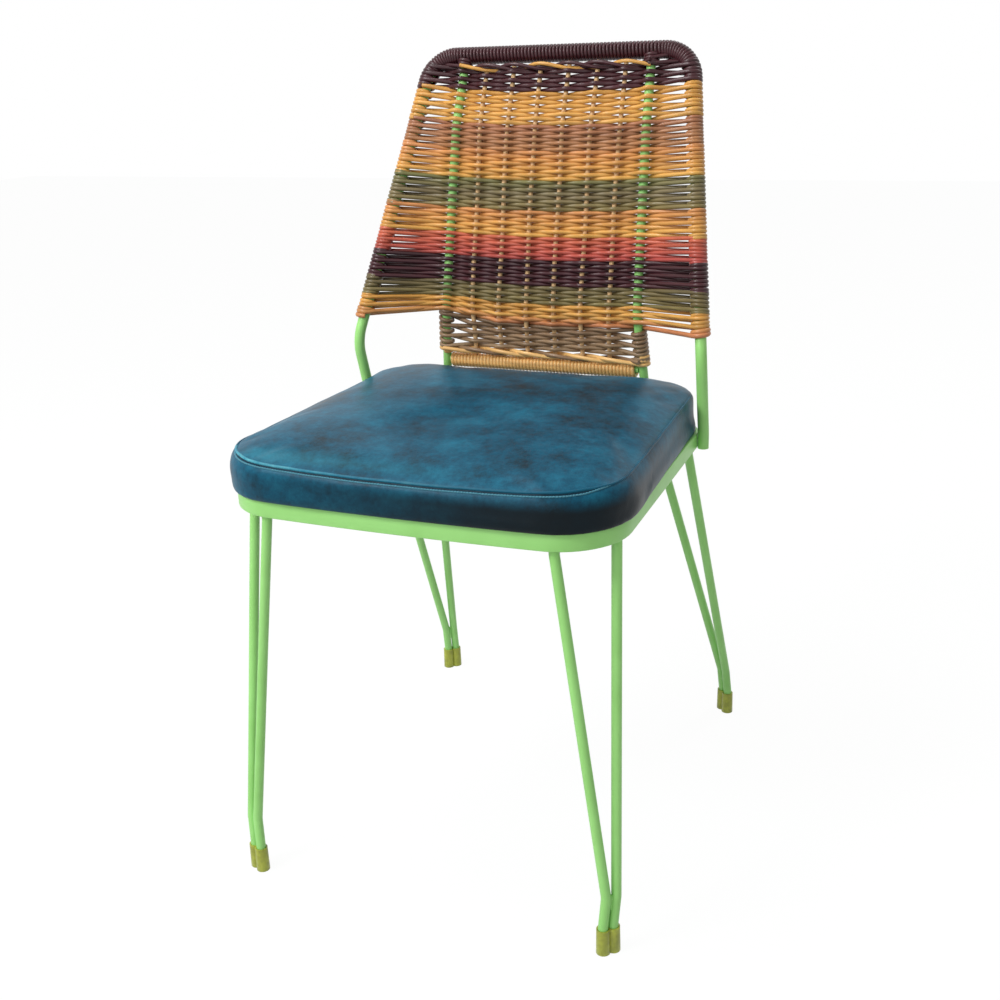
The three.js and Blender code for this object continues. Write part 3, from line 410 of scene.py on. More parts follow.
def strand_mesh(name, paths, radius, sides, tone_of=None):
    """Round strands swept along paths, mapped by their length in metres and the turn round them.

    The tone tells at which share of the band's height a point lies.
    """
    verts, faces, maps = [], [], []
    for points in paths:
        first = len(verts)
        run = [0.0]
        for a, b in zip(points, points[1:]):
            run.append(run[-1] + (b - a).length)
        tangent = (points[1] - points[0]).normalized()
        normal = tangent.orthogonal().normalized()
        for i, point in enumerate(points):
            before = points[max(i - 1, 0)]
            after = points[min(i + 1, len(points) - 1)]
            tangent = (after - before).normalized()
            normal = (normal - tangent * normal.dot(tangent)).normalized()
            across = tangent.cross(normal)
            for j in range(sides):
                angle = 2 * math.pi * j / sides
                verts.append(point + (normal * math.cos(angle) + across * math.sin(angle)) * radius)
        last = first + (len(points) - 1) * sides
        for i in range(len(points) - 1):
            here = first + i * sides
            for j in range(sides):
                k = (j + 1) % sides
                faces.append((here + j, here + k, here + sides + k, here + sides + j))
                maps += [(run[i], j / sides), (run[i], (j + 1) / sides),
                         (run[i + 1], (j + 1) / sides), (run[i + 1], j / sides)]
        faces.append(tuple(first + j for j in reversed(range(sides))))
        faces.append(tuple(last + j for j in range(sides)))
        maps += [(run[0], 0.5)] * sides + [(run[-1], 0.5)] * sides
    mesh = bpy.data.meshes.new(name)
    mesh.from_pydata(verts, [], faces)
    layer = mesh.uv_layers.new(name="strand")
    layer.data.foreach_set("uv", [value for pair in maps for value in pair])
    tones = mesh.attributes.new("tone", "FLOAT", "POINT")
    tones.data.foreach_set("value", [tone_of(vert) if tone_of else 0.5 for vert in verts])
    obj = bpy.data.objects.new(name, mesh)
    bpy.context.collection.objects.link(obj)
    shade(obj, 60)
    return obj


def tube(name, points, diameter, cap_round=0.0, sides=20):
    """A steel rod or tube: a curve through its bends, thickened and turned into a mesh."""
    only_none()
    bpy.ops.curve.primitive_nurbs_path_add(location=(0, 0, 0))
    curve = bpy.context.object.data
    curve.splines.clear()
    spline = curve.splines.new("POLY")
    spline.points.add(len(points) - 1)
    for knot, point in zip(spline.points, points):
        knot.co = (*point, 1)
    curve.bevel_depth = diameter / 2
    curve.bevel_resolution = (sides - 4) // 2
    curve.use_fill_caps = True
    obj = bpy.context.object
    only(obj)
    bpy.ops.object.convert(target="MESH")
    obj = named(name)
    if cap_round:
        modifier(obj, "BEVEL", width=cap_round, segments=3, limit_method="ANGLE",
                 angle_limit=math.radians(60))
    shade(obj)
    return obj


# Node materials

def feed(tree, node, inputs=None, links=None):
    """Sets a node's input values and links the sockets that feed it."""
    for key, value in (inputs or {}).items():
        node.inputs[key].default_value = value
    for key, socket in (links or {}).items():
        tree.links.new(socket, node.inputs[key])


def add_node(tree, kind, inputs=None, links=None, stops=None, **settings):
    """Adds a node with its settings, its input values, the sockets that feed it and a ramp's stops."""
    made = tree.nodes.new(kind)
    for i, (position, value) in enumerate(stops or ()):
        ramp = made.color_ramp.elements
        stop = ramp[i] if i < len(ramp) else ramp.new(position)
        stop.position = position
        stop.color = (*value, 1.0)
    for key, value in settings.items():
        setattr(made, key, value)
    feed(tree, made, inputs, links)
    return made


def new_finish(name):
    """A Principled material: gives it, its tree, its shader and a link to the object's coordinates."""
    material = bpy.data.materials.new(name)
    material.use_nodes = True
    tree = material.node_tree
    coords = add_node(tree, "ShaderNodeTexCoord")
    return material, tree, tree.nodes["Principled BSDF"], {"Vector": coords.outputs["Object"]}


def rgba(value):
    return (*value, 1.0)


def shifted(value, by):
    """A colour made lighter or darker by a share."""
    return tuple(clamp(part * (1 + by)) for part in value)


def powder_coat(name, base, thin):
    """Steel with polyester powder coat: even colour, a fine orange-peel surface and a satin gloss."""
    material, tree, shader, here = new_finish(name)
    cloud = add_node(tree, "ShaderNodeTexNoise", {"Scale": 22, "Detail": 2}, here)
    tone = add_node(tree, "ShaderNodeValToRGB", links={"Fac": cloud.outputs["Fac"]},
                    stops=((0.3, thin), (0.6, base)))
    # Orange peel of about 1.5 mm.
    peel = add_node(tree, "ShaderNodeTexNoise", {"Scale": 650, "Detail": 1}, here)
    bump = add_node(tree, "ShaderNodeBump", {"Strength": 0.08, "Distance": mm(0.3)},
                    {"Height": peel.outputs["Fac"]})
    feed(tree, shader, {"Roughness": 0.4, "Specular IOR Level": 0.4},
         {"Base Color": tone.outputs["Color"], "Normal": bump.outputs["Normal"]})
    return material


def round_strand(name, first, middle, last):
    """Extruded vinyl strand: glossy, a little different from row to row, faintly streaked along it."""
    material, tree, shader, here = new_finish(name)
    tone = add_node(tree, "ShaderNodeAttribute", attribute_name="tone")
    dye = add_node(tree, "ShaderNodeValToRGB", links={"Fac": tone.outputs["Fac"]},
                   stops=((0.0, first), (1.0, last), (0.5, middle)))
    # Each row has a shade of its own, which drifts over some 80 mm of its length.
    rows = add_node(tree, "ShaderNodeMapping", {"Scale": (12, 40, 230)}, here)
    drift = add_node(tree, "ShaderNodeTexNoise", {"Scale": 1, "Detail": 2},
                     {"Vector": rows.outputs["Vector"]})
    shade_of = add_node(tree, "ShaderNodeValToRGB", links={"Fac": drift.outputs["Fac"]},
                        stops=((0.3, (0.68, 0.65, 0.63)), (0.6, (1.0, 1.0, 1.0))))
    dyed = add_node(tree, "ShaderNodeMix", {0: 1.0},
                    {6: dye.outputs["Color"], 7: shade_of.outputs["Color"]},
                    data_type="RGBA", blend_type="MULTIPLY")
    # Streaks run along the strand, 9 of them round it and each about 12 mm long.
    own = add_node(tree, "ShaderNodeTexCoord")
    stretch = add_node(tree, "ShaderNodeMapping", {"Scale": (80, 9, 1)}, {"Vector": own.outputs["UV"]})
    streaks = add_node(tree, "ShaderNodeTexNoise", {"Scale": 1, "Detail": 2},
                       {"Vector": stretch.outputs["Vector"]})
    bump = add_node(tree, "ShaderNodeBump", {"Strength": 0.12, "Distance": mm(0.3)},
                    {"Height": streaks.outputs["Fac"]})
    gloss = add_node(tree, "ShaderNodeMapRange", {"To Min": 0.24, "To Max": 0.42},
                     {"Value": streaks.outputs["Fac"]})
    feed(tree, shader, {"Specular IOR Level": 0.36}, {
        "Base Color": dyed.outputs[2],
        "Normal": bump.outputs["Normal"],
        "Roughness": gloss.outputs["Result"],
    })
    return material


def peeled_cane(name, base):
    """Peeled rattan cane: warm, with fibres along it and a low gloss."""
    material, tree, shader, here = new_finish(name)
    # Fibres of 0.4 mm across and 40 mm along the stake.
    stretch = add_node(tree, "ShaderNodeMapping", {"Scale": (2400, 2400, 25)}, here)
    fibres = add_node(tree, "ShaderNodeTexNoise", {"Scale": 1, "Detail": 3},
                      {"Vector": stretch.outputs["Vector"]})
    ramp = add_node(tree, "ShaderNodeValToRGB", links={"Fac": fibres.outputs["Fac"]},
                    stops=((0.35, shifted(base, -0.4)), (0.62, shifted(base, 0.12))))
    bump = add_node(tree, "ShaderNodeBump", {"Strength": 0.2, "Distance": mm(0.2)},
                    {"Height": fibres.outputs["Fac"]})
    feed(tree, shader, {"Roughness": 0.5},
         {"Base Color": ramp.outputs["Color"], "Normal": bump.outputs["Normal"]})
    return material


def mottled_leatherette(name, teal, slate, pale, painted_shade="#0c151a", painted_shade_from=mm(462), painted_shade_full=mm(446)):
    """Pull-up leatherette: cloudy patches, painted shade low at the right front, and a pebbled grain."""
    material, tree, shader, here = new_finish(name)
    # Clouds of about 65 mm with ragged edges, broken up by specks of 6 mm.
    clouds = add_node(tree, "ShaderNodeTexNoise", {"Scale": 15, "Detail": 8, "Roughness": 0.72}, here)
    specks = add_node(tree, "ShaderNodeTexNoise", {"Scale": 170, "Detail": 4, "Roughness": 0.75}, here)
    broken = add_node(tree, "ShaderNodeMath", {1: 0.28},
                      {0: specks.outputs["Fac"], 2: clouds.outputs["Fac"]}, operation="MULTIPLY_ADD")
    dye = add_node(tree, "ShaderNodeValToRGB", links={"Fac": broken.outputs["Value"]},
                   stops=((0.46, slate), (0.84, pale), (0.64, teal)))
    # Each share fades along one axis: the place where it starts, the place where it is full, and its
    # values there.
    place_of = add_node(tree, "ShaderNodeSeparateXYZ", links={"Vector": here["Vector"]})
    shares = {"broken": broken.outputs["Value"]}
    for share, axis, start, full, at_start, at_full in (
        ("low", "Z", painted_shade_from, painted_shade_full, 0, 1),
        ("right", "X", mm(-240), mm(130), 0, 0.97),
        ("ahead", "Y", 0, mm(-220), 0.45, 1),
        ("above_seam", "Z", mm(463), mm(470), 0, 1),
        ("front_edge", "Y", mm(-215), mm(-258), 0, 0.62),
        ("left", "X", mm(130), mm(-190), 0, 1),
    ):
        fade = add_node(tree, "ShaderNodeMapRange",
                        {"From Min": start, "From Max": full, "To Min": at_start, "To Max": at_full},
                        {"Value": place_of.outputs[axis]}, interpolation_type="SMOOTHSTEP")
        shares[share] = fade.outputs["Result"]
    # Painted shade: darker low on the front, more to the right, where the light falls off. Painted highlight:
    # above the front seam the edge is paler in patches, more at the left, for the light's sheen on its
    # rounding.
    shown = dye.outputs["Color"]
    for tint, factors in ((painted_shade, ("low", "right", "ahead")),
                          ("#459aa8", ("above_seam", "front_edge", "left", "broken"))):
        covered = shares[factors[0]]
        for factor in factors[1:]:
            product = add_node(tree, "ShaderNodeMath", links={0: covered, 1: shares[factor]},
                               operation="MULTIPLY")
            covered = product.outputs["Value"]
        layer = add_node(tree, "ShaderNodeMix", {7: rgba(linear(tint))}, {0: covered, 6: shown},
                         data_type="RGBA")
        shown = layer.outputs[2]
    # Pebbles of 1.4 mm, and shallow creases of about 22 mm.
    pebbles = add_node(tree, "ShaderNodeTexVoronoi", {"Scale": 700}, here)
    creases = add_node(tree, "ShaderNodeTexNoise", {"Scale": 45, "Detail": 3}, here)
    grain = add_node(tree, "ShaderNodeBump", {"Strength": 0.14, "Distance": mm(0.4)},
                     {"Height": pebbles.outputs["Distance"]})
    relief = add_node(tree, "ShaderNodeBump", {"Strength": 0.16, "Distance": mm(2)},
                      {"Height": creases.outputs["Fac"], "Normal": grain.outputs["Normal"]})
    gloss = add_node(tree, "ShaderNodeMapRange", {"To Min": 0.3, "To Max": 0.46},
                     {"Value": clouds.outputs["Fac"]})
    feed(tree, shader, {"Specular IOR Level": 0.12},
         {"Base Color": shown, "Normal": relief.outputs["Normal"], "Roughness": gloss.outputs["Result"]})
    return material


def sewing_thread(name, base):
    """Twisted polyester thread: dull, with a fine twist."""
    material, tree, shader, here = new_finish(name)
    twist = add_node(tree, "ShaderNodeTexNoise", {"Scale": 1800, "Detail": 2}, here)
    ramp = add_node(tree, "ShaderNodeValToRGB", links={"Fac": twist.outputs["Fac"]},
                    stops=((0.0, shifted(base, -0.3)), (1.0, base)))
    feed(tree, shader, {"Roughness": 0.6}, {"Base Color": ramp.outputs["Color"]})
    return material


def amber_vinyl(name, base):
    """Soft clear vinyl, yellowed: light passes part of the way in, and the mould left it cloudy."""
    material, tree, shader, here = new_finish(name)
    haze = add_node(tree, "ShaderNodeTexNoise", {"Scale": 120, "Detail": 3}, here)
    ramp = add_node(tree, "ShaderNodeValToRGB", links={"Fac": haze.outputs["Fac"]},
                    stops=((0.35, shifted(base, -0.2)), (0.65, shifted(base, 0.12))))
    bump = add_node(tree, "ShaderNodeBump", {"Strength": 0.1, "Distance": mm(0.6)},
                    {"Height": haze.outputs["Fac"]})
    feed(tree, shader, {"Roughness": 0.32, "Transmission Weight": 0.25, "IOR": 1.5},
         {"Base Color": ramp.outputs["Color"], "Normal": bump.outputs["Normal"]})
    return material


def birch_plywood(name, base):
    """Rotary-cut birch ply: pale, with wide wavy grain along the seat's depth."""
    material, tree, shader, here = new_finish(name)
    stretch = add_node(tree, "ShaderNodeMapping", {"Scale": (60, 5, 60)}, here)
    grain = add_node(tree, "ShaderNodeTexNoise", {"Scale": 1, "Detail": 5, "Distortion": 1.2},
                     {"Vector": stretch.outputs["Vector"]})
    ramp = add_node(tree, "ShaderNodeValToRGB", links={"Fac": grain.outputs["Fac"]},
                    stops=((0.38, shifted(base, -0.25)), (0.6, base)))
    bump = add_node(tree, "ShaderNodeBump", {"Strength": 0.1, "Distance": mm(0.4)},
                    {"Height": grain.outputs["Fac"]})
    feed(tree, shader, {"Roughness": 0.7},
         {"Base Color": ramp.outputs["Color"], "Normal": bump.outputs["Normal"]})
    return material


def zinc_plate(name):
    """Zinc-plated steel: grey metal with a mottled dull shine."""
    material, tree, shader, here = new_finish(name)
    spangle = add_node(tree, "ShaderNodeTexNoise", {"Scale": 400, "Detail": 2}, here)
    gloss = add_node(tree, "ShaderNodeMapRange", {"To Min": 0.3, "To Max": 0.5},
                     {"Value": spangle.outputs["Fac"]})
    feed(tree, shader, {"Base Color": rgba(linear("#b9bdc0")), "Metallic": 1.0},
         {"Roughness": gloss.outputs["Result"]})
    return material


# The dyes of a strand's first and last rows. The settings hold the one between them.
STRAND_DYES = {
    "plum": ("#3b1c21", "#462026"),
    "ochre": ("#cf9647", "#d8a356"),
    "pink_brown": ("#a86f50", "#b17c50"),
    "orange": ("#cf8c56", "#dba654"),
    "olive_grey": ("#757244", "#827345"),
    "red": ("#cc6a4c", "#b24c45"),
    "khaki": ("#665a3c", "#7f7244"),
    "pink": ("#cb8f52", "#c77f55"),
    "grey_brown": ("#7a6149", "#998062"),
    "tan": ("#ecb36e", "#f4c484"),
}


@cache
def finish_of(kind):
    """The chair's finish of a kind, from the colours in the settings. Each is made once and shared."""
    scene = bpy.context.scene
    steel, weave, seat = scene.chair_frame, scene.chair_weave, scene.chair_seat
    if kind in STRAND_DYES:
        first, last = STRAND_DYES[kind]
        return round_strand(f"strand_{kind}", linear(first), tuple(getattr(weave, kind)), linear(last))
    makers = {
        "paint": lambda: powder_coat("powder_coat_green", tuple(steel.paint), tuple(steel.paint_thin)),
        "cap": lambda: amber_vinyl("amber_vinyl", tuple(steel.cap)),
        "cane": lambda: peeled_cane("peeled_cane", tuple(weave.cane)),
        "cover": lambda: mottled_leatherette("mottled_leatherette", tuple(seat.teal), tuple(seat.slate),
                                             tuple(seat.pale)),
        # The front welt is painted paler for its highlight, which fades towards the right into darker teal.
        "rubbed": lambda: mottled_leatherette("rubbed_leatherette", linear("#34879f"), linear("#1c6680"),
                                              linear("#6cbac4"), "#14536b", mm(600), mm(500)),
        # A thin dark strand in the groove under the front welt: painted shade.
        "fold": lambda: mottled_leatherette("leatherette_fold", linear("#0c2a38"), linear("#08202b"),
                                            linear("#103546")),
        "thread": lambda: sewing_thread("sewing_thread", linear("#3f8296")),
        "plywood": lambda: birch_plywood("birch_plywood", linear("#c39d6c")),
        "zinc": lambda: zinc_plate("zinc_plate"),
    }
    return makers[kind]()


# Frame

LEG_TOP = RAIL_TOP - mm(3)
LEG_KNEE = RAIL_BOTTOM - mm(6)
LEG_INSET = RAIL_THICKNESS + GAP + ROD_RADIUS
LEG_SPACING = mm(10.8)
# Where a right leg's side rod stands along the rail, where its end rod stands across it, and whether
# that rod is at the front or the rear.
LEG_PLACES = {
    "front": (RAIL_MIDDLE - mm(132.5), mm(147), -1),
    "rear": (RAIL_MIDDLE + mm(144), mm(138), 1),
}
# A right leg's foot, its bend, and the direction from its end rod to its side rod.
LEG_BEND_HEIGHT = mm(60)
FEET = {
    "front": (place(196.5, -183, 0), place(198.8, -180, 60), 0.25 * math.pi),
    "rear": (place(195.5, 317, 0), place(194, 310, 60), -0.32 * math.pi),
}
CAP_FLOOR = mm(3)
WELD_FROM = mm(48)
# How far the cut ends of a rod are rounded.
ROD_END_ROUND = mm(0.8)


def leg_tops(end):
    """Where the two rods of a right leg meet the rail: the side one and the end one."""
    side_y, end_x, facing = LEG_PLACES[end]
    return (Vector((outline_x(-LEG_INSET, side_y), side_y, 0)),
            Vector((end_x, outline_y(-LEG_INSET, end_x, facing), 0)))


# The pairs are set by hand, so three of them stand turned a little from the fourth, in degrees.
FOOT_TURNS = {("front", -1): -20, ("rear", 1): 14, ("rear", -1): 14}


def foot_across(end, hand):
    """From a foot's middle to its side rod, given on the right side."""
    angle = FEET[end][2] + math.radians(FOOT_TURNS.get((end, hand), 0))
    return Vector((math.cos(angle), math.sin(angle), 0)) * (LEG_SPACING / 2)


def leg_rod_path(top, bend, foot, across):
    """A rod's centre line on the right side: upright in the rail, down to the bend and into its cap."""
    low = foot + across
    turn = bend + across
    return rounded([
        Vector((top.x, top.y, LEG_TOP)),
        Vector((top.x, top.y, LEG_KNEE)),
        Vector((turn.x, turn.y, LEG_BEND_HEIGHT)),
        Vector((low.x, low.y, mm(28.5))),
        Vector((low.x, low.y, CAP_FLOOR + GAP)),
    ], [mm(14), mm(28), mm(14)], 8)


class ChairSeatRail(bpy.types.Operator):
    """Bends the flat bar of the seat rail into its ring"""
    bl_idname = "chair.seat_rail"
    bl_label = "Seat rail"

    def execute(self, context):
        outline = rail_outline(0)
        only_none()
        bpy.ops.mesh.primitive_circle_add(vertices=len(outline), radius=0.2, location=(0, 0, 0))
        rail = named("seat_rail_bar")
        for vert, spot in zip(rail.data.vertices, outline):
            vert.co = (spot.x, spot.y, RAIL_BOTTOM)
        bpy.ops.object.mode_set(mode="EDIT")
        bpy.ops.mesh.select_all(action="SELECT")
        bpy.ops.mesh.extrude_region_move(TRANSFORM_OT_translate={"value": (0, 0, RAIL_TOP - RAIL_BOTTOM)})
        bpy.ops.mesh.select_all(action="SELECT")
        bpy.ops.mesh.normals_make_consistent(inside=False)
        bpy.ops.object.mode_set(mode="OBJECT")
        modifier(rail, "SOLIDIFY", thickness=RAIL_THICKNESS, offset=-1)
        modifier(rail, "BEVEL", width=mm(1.3), segments=3, limit_method="ANGLE", angle_limit=math.radians(50))
        shade(rail)
        paint_piece(rail, "seat_rail")
        return {"FINISHED"}


class ChairLegs(bpy.types.Operator):
    """Bends the eight leg rods and lays the weld that joins each pair"""
    bl_idname = "chair.legs"
    bl_label = "Legs"

    def execute(self, context):
        settings = context.scene.chair_frame
        for end, (foot, bend, _) in FEET.items():
            side_top, end_top = leg_tops(end)
            for hand_name, hand in HANDS:
                across = foot_across(end, hand)
                leg = f"{end}_{hand_name}_leg"
                for rod_name, top, offset in (("side_rod", side_top, across), ("end_rod", end_top, -across)):
                    path = [side_of(point, hand) for point in leg_rod_path(top, bend, foot, offset)]
                    rod = tube(f"{leg}_{rod_name}_bar", path, settings.rod, ROD_END_ROUND)
                    paint_piece(rod, f"{leg}_{rod_name}")
                self.weld(context, leg, hand, foot, bend)
        return {"FINISHED"}

    def weld(self, context, leg, hand, foot, bend):
        """A bead that fills the valley between the two rods above the bend."""
        reach = context.scene.chair_frame.weld
        low = Vector((hand * mix(foot.x, bend.x, 0.9), mix(foot.y, bend.y, 0.9), WELD_FROM))
        beads = 5
        parts = []
        for i in range(beads):
            only_none()
            share = i / (beads - 1)
            bpy.ops.mesh.primitive_uv_sphere_add(
                segments=12, ring_count=8, radius=mm(2.6),
                location=low + Vector((0, 0, reach * share)),
            )
            bead = bpy.context.object
            bead.scale = (0.95, 0.95, 1.05 + 0.12 * math.sin(i * 2.3))
            parts.append(bead)
        for part in parts:
            part.select_set(True)
        bpy.context.view_layer.objects.active = parts[0]
        bpy.ops.object.join()
        weld = named(f"{leg}_weld")
        settle(weld)
        modifier(weld, "REMESH", mode="VOXEL", voxel_size=mm(0.8))
        modifier(weld, "SMOOTH", factor=0.5, iterations=2)
        shade(weld, 80)
        paint_piece(weld)


class ChairFootCaps(bpy.types.Operator):
    """Moulds the four two-lobed foot caps"""
    bl_idname = "chair.foot_caps"
    bl_label = "Foot caps"

    def execute(self, context):
        settings = context.scene.chair_frame
        for end, (foot, _, _) in FEET.items():
            for hand_name, hand in HANDS:
                across = foot_across(end, hand)
                across.x *= hand
                middle = Vector((hand * foot.x, foot.y, 0))
                lobes = [self.lobe(settings, middle + across), self.lobe(settings, middle - across)]
                cap = lobes[0]
                modifier(cap, "BOOLEAN", operation="UNION", object=lobes[1], solver="EXACT")
                bpy.data.objects.remove(lobes[1])
                only(cap)
                named(f"{end}_{hand_name}_leg_cap")
                for sign in (1, -1):
                    self.bore(settings, cap, middle + across * sign)
                modifier(cap, "BEVEL", width=mm(0.7), segments=3, limit_method="ANGLE",
                         angle_limit=math.radians(40))
                shade(cap, 50)
                finish_piece(cap, finish_of("cap"), "amber_plastic", f"{end}_{hand_name}_leg_foot_cap")
        return {"FINISHED"}

    def lobe(self, settings, spot):
        """One socket of a cap, a little wider at its foot."""
        only_none()
        bpy.ops.mesh.primitive_cone_add(
            vertices=32, radius1=settings.cap_radius * 1.03, radius2=settings.cap_radius * 0.97,
            depth=settings.cap_height, location=spot + Vector((0, 0, settings.cap_height / 2)),
        )
        lobe = bpy.context.object
        settle(lobe)
        return lobe

    def bore(self, settings, cap, spot):
        """The hole that a rod stands in."""
        only_none()
        depth = settings.cap_height
        bpy.ops.mesh.primitive_cylinder_add(
            vertices=32, radius=settings.rod / 2 + mm(0.25), depth=depth,
            location=spot + Vector((0, 0, CAP_FLOOR + depth / 2)),
        )
        cutter = bpy.context.object
        settle(cutter)
        modifier(cap, "BOOLEAN", operation="DIFFERENCE", object=cutter, solver="EXACT")
        bpy.data.objects.remove(cutter)


class ChairHoop(bpy.types.Operator):
    """Bends the hoop's tube, the two back rods and the crossbar"""
    bl_idname = "chair.hoop"
    bl_label = "Back hoop and rods"

    def execute(self, context):
        settings = context.scene.chair_frame
        hoop = tube("hoop_tube", HOOP.points, settings.hoop, mm(1.2), 24)
        paint_piece(hoop, "back_hoop")
        for hand_name, turn in (("right", lambda p: p), ("left", mirrored)):
            # The top end stays inside the lashing.
            line = [turn(point) for point in ROD.points if point.z < ROD_TOP.z - mm(1)]
            line.append(turn(ROD.at(ROD.length - mm(4.5))))
            rod = tube(f"back_rod_{hand_name}_bar", line, settings.rod, ROD_END_ROUND)
            paint_piece(rod, f"back_rod_{hand_name}")
        half = CROSSBAR.x - settings.rod / 2
        ends = [Vector((hand * half, CROSSBAR.y, CROSSBAR.z)) for hand in (-1, 1)]
        bar = tube("crossbar_rod", ends, settings.crossbar)
        paint_piece(bar, "lower_crossbar")
        return {"FINISHED"}


# Weave

# How much the lean of the hoop counts, against the rods', in that of the strands.
HOOP_LEAN_SHARE = 0.28
# Between two uprights all rows lie nearly in one plane: each knot's place there, as a share of the way,
# and how much of the offset at the upright is left. Near an edge that place is no further off than this.
FLAT_PLACE_SHARES = (0.3, 0.7)
FLAT_OFFSET_SHARE = 0.25
FLAT_REACH = mm(11)
# Longer runs, beside the hoop, get knots at these shares of the way, which keep them nearly straight.
LONG_RUN = mm(40)
STRAIGHT_SHARES = (0.22, 0.5, 0.78)
# Drawn tight, a strand flattens a little against the tube it winds round.
WRAP_FLATTENING = mm(0.45)
WRAP_STEPS = 14
# The first and last quarter turn of a wrap fall little, which spaces its turns evenly on the outer side.
WRAP_END_SHARE = 0.083
WRAP_MIDDLE_SHARE = 1 - 2 * WRAP_END_SHARE
WRAP_TURNS = 1.5


def rod_axis(z):
    return ROD.direction(ROD.run_at(z))


def mean_axis(z):
    """The direction between those of the hoop and the rods, to which the strands lie square."""
    return HOOP.direction(HOOP.run_at(z)).lerp(rod_axis(z), 1 - HOOP_LEAN_SHARE).normalized()


def front_of(axis):
    lean = Vector((0, axis.y, axis.z)).normalized()
    return -(Vector((0, 1, 0)) - lean * lean.y).normalized()


def fold_angle(z):
    rod = ROD.at_height(z)
    side = HOOP.at_height(z)
    return math.atan2(rod.y - side.y, side.x - rod.x)


# A stake or back rod that rows pass on alternate sides: its place across, its radius, its centre at a
# height and the direction of its front there.
Upright = namedtuple("Upright", "x radius at front")
# The tube that rows wind round at their ends, given on the right side: its route and radius, how far a
# wrap falls as a share of the row pitch, its direction at a height, and a place on the row's side of it.
Edge = namedtuple("Edge", "route radius fall_share axis beside")


def stake_upright(x, radius):
    return Upright(x, radius, lambda z: on_rods(x, z), lambda z: front_of(rod_axis(z)))


def rod_upright(hand, radius):
    def front(z):
        return Quaternion((0, 0, 1), -hand * fold_angle(z) / 2) @ front_of(mean_axis(z))
    return Upright(hand * ROD_KNEE.x, radius, lambda z: on_rods(hand * ROD.at_height(z).x, z), front)


def edge_wrap(edge, hand, start, fall, turns, from_front, strand):
    """Turns of a strand round an edge tube, from one row down to the next."""
    total = max(1, round(turns * WRAP_STEPS))
    radius = edge.radius + strand / 2 - WRAP_FLATTENING
    points = []
    for step in range(total + 1):
        around = step / WRAP_STEPS
        turned = 2 * math.pi * around
        ends = clamp(around / 0.25) + clamp((around - turns + 0.25) / 0.25)
        middle = clamp((around - 0.25) / max(turns - 0.5, 0.01))
        centre = edge.route.at(start - fall * (WRAP_END_SHARE * ends + WRAP_MIDDLE_SHARE * middle))
        tangent = edge.axis(centre.z)
        outward = centre - edge.beside(centre.z)
        outward = (outward - tangent * outward.dot(tangent)).normalized()
        front = outward.cross(tangent)
        front = (front * -math.copysign(1, front.y)).normalized()
        face = 1 if from_front else -1
        out = front * (face * math.cos(turned)) + outward * math.sin(turned)
        points.append(side_of(centre + out * radius, hand))
    return points


def slip_share(z):
    """How far a crossing slips along its upright, as a share of how far it stands off.

    Where the back leans away the front crossings slip down, and on the skirt they slip up.
    """
    return 0.12 * clamp((z - mm(610)) / mm(180)) - 0.2 * clamp((mm(570) - z) / mm(40))


def woven_path(edge, uprights, rows, first_index, strand, tail=WRAP_TURNS):
    """The centre line of one band: to and fro between two edge tubes, past the uprights in turn.

    A row is its heights at the left and right edge and its height at a place across. The tail is how many
    turns the strand's end makes round the last edge.
    """
    last = len(uprights) + 1
    # The strand's first and last wraps fall by most of its own thickness.
    end_fall = strand * 0.8
    knots = []
    for r, (left_z, right_z, height_at) in enumerate(rows):
        to_right = r % 2 == 0
        hand = 1 if to_right else -1
        from_z, to_z = (left_z, right_z) if to_right else (right_z, left_z)
        from_edge = side_of(edge.route.at_height(from_z), -hand)
        to_edge = side_of(edge.route.at_height(to_z), hand)
        here = edge.route.run_at(to_z)
        index = first_index + r
        if r == 0:
            start = edge.route.run_at(from_z)
            knots += reversed(edge_wrap(edge, -hand, start, -end_fall, WRAP_TURNS, index % 2 == 0, strand))
        crossings = []
        for j, upright in enumerate(uprights if to_right else reversed(uprights)):
            column = j + 1 if to_right else last - 1 - j
            z = height_at(upright.x)
            face = 1 if (index + column) % 2 == 0 else -1
            reach = face * (upright.radius + strand / 2 + mm(0.1))
            crossings.append((upright.at(z - reach * slip_share(z)), upright.front(z) * reach))
        knots.append(towards_edge(crossings[0], from_edge))
        first_share, second_share = FLAT_PLACE_SHARES
        for (a, out_a), (b, out_b) in zip(crossings, crossings[1:]):
            knots += [a + out_a, a.lerp(b, first_share) + out_a * FLAT_OFFSET_SHARE,
                      a.lerp(b, second_share) + out_b * FLAT_OFFSET_SHARE]
        near, out_near = crossings[-1]
        knots += [near + out_near, towards_edge(crossings[-1], to_edge)]
        from_front = (index + (last if to_right else 0)) % 2 == 0
        if r < len(rows) - 1:
            pitch = here - edge.route.run_at(rows[r + 1][1 if to_right else 0])
            start = here + pitch * ((edge.fall_share - 1) / 2)
            knots += edge_wrap(edge, hand, start, pitch * edge.fall_share, WRAP_TURNS, from_front, strand)
        else:
            knots += edge_wrap(edge, hand, here, end_fall * (tail - 0.5), tail, from_front, strand)
    return smooth_run(with_straights(knots), mm(3.6))


def towards_edge(crossing, edge_point):
    """The knot between the last crossing of a row and the edge."""
    near, out = crossing
    share = min(FLAT_PLACE_SHARES[0], FLAT_REACH / (edge_point - near).length)
    return near.lerp(edge_point, share) + out * FLAT_OFFSET_SHARE


def with_straights(knots):
    """Adds knots on the long runs between a rod and the hoop."""
    filled = [knots[0]]
    for a, b in zip(knots, knots[1:]):
        if (b - a).length > max(LONG_RUN, STAKE_SPACING * 1.15):
            filled += [a.lerp(b, share) for share in STRAIGHT_SHARES]
        filled.append(b)
    return filled


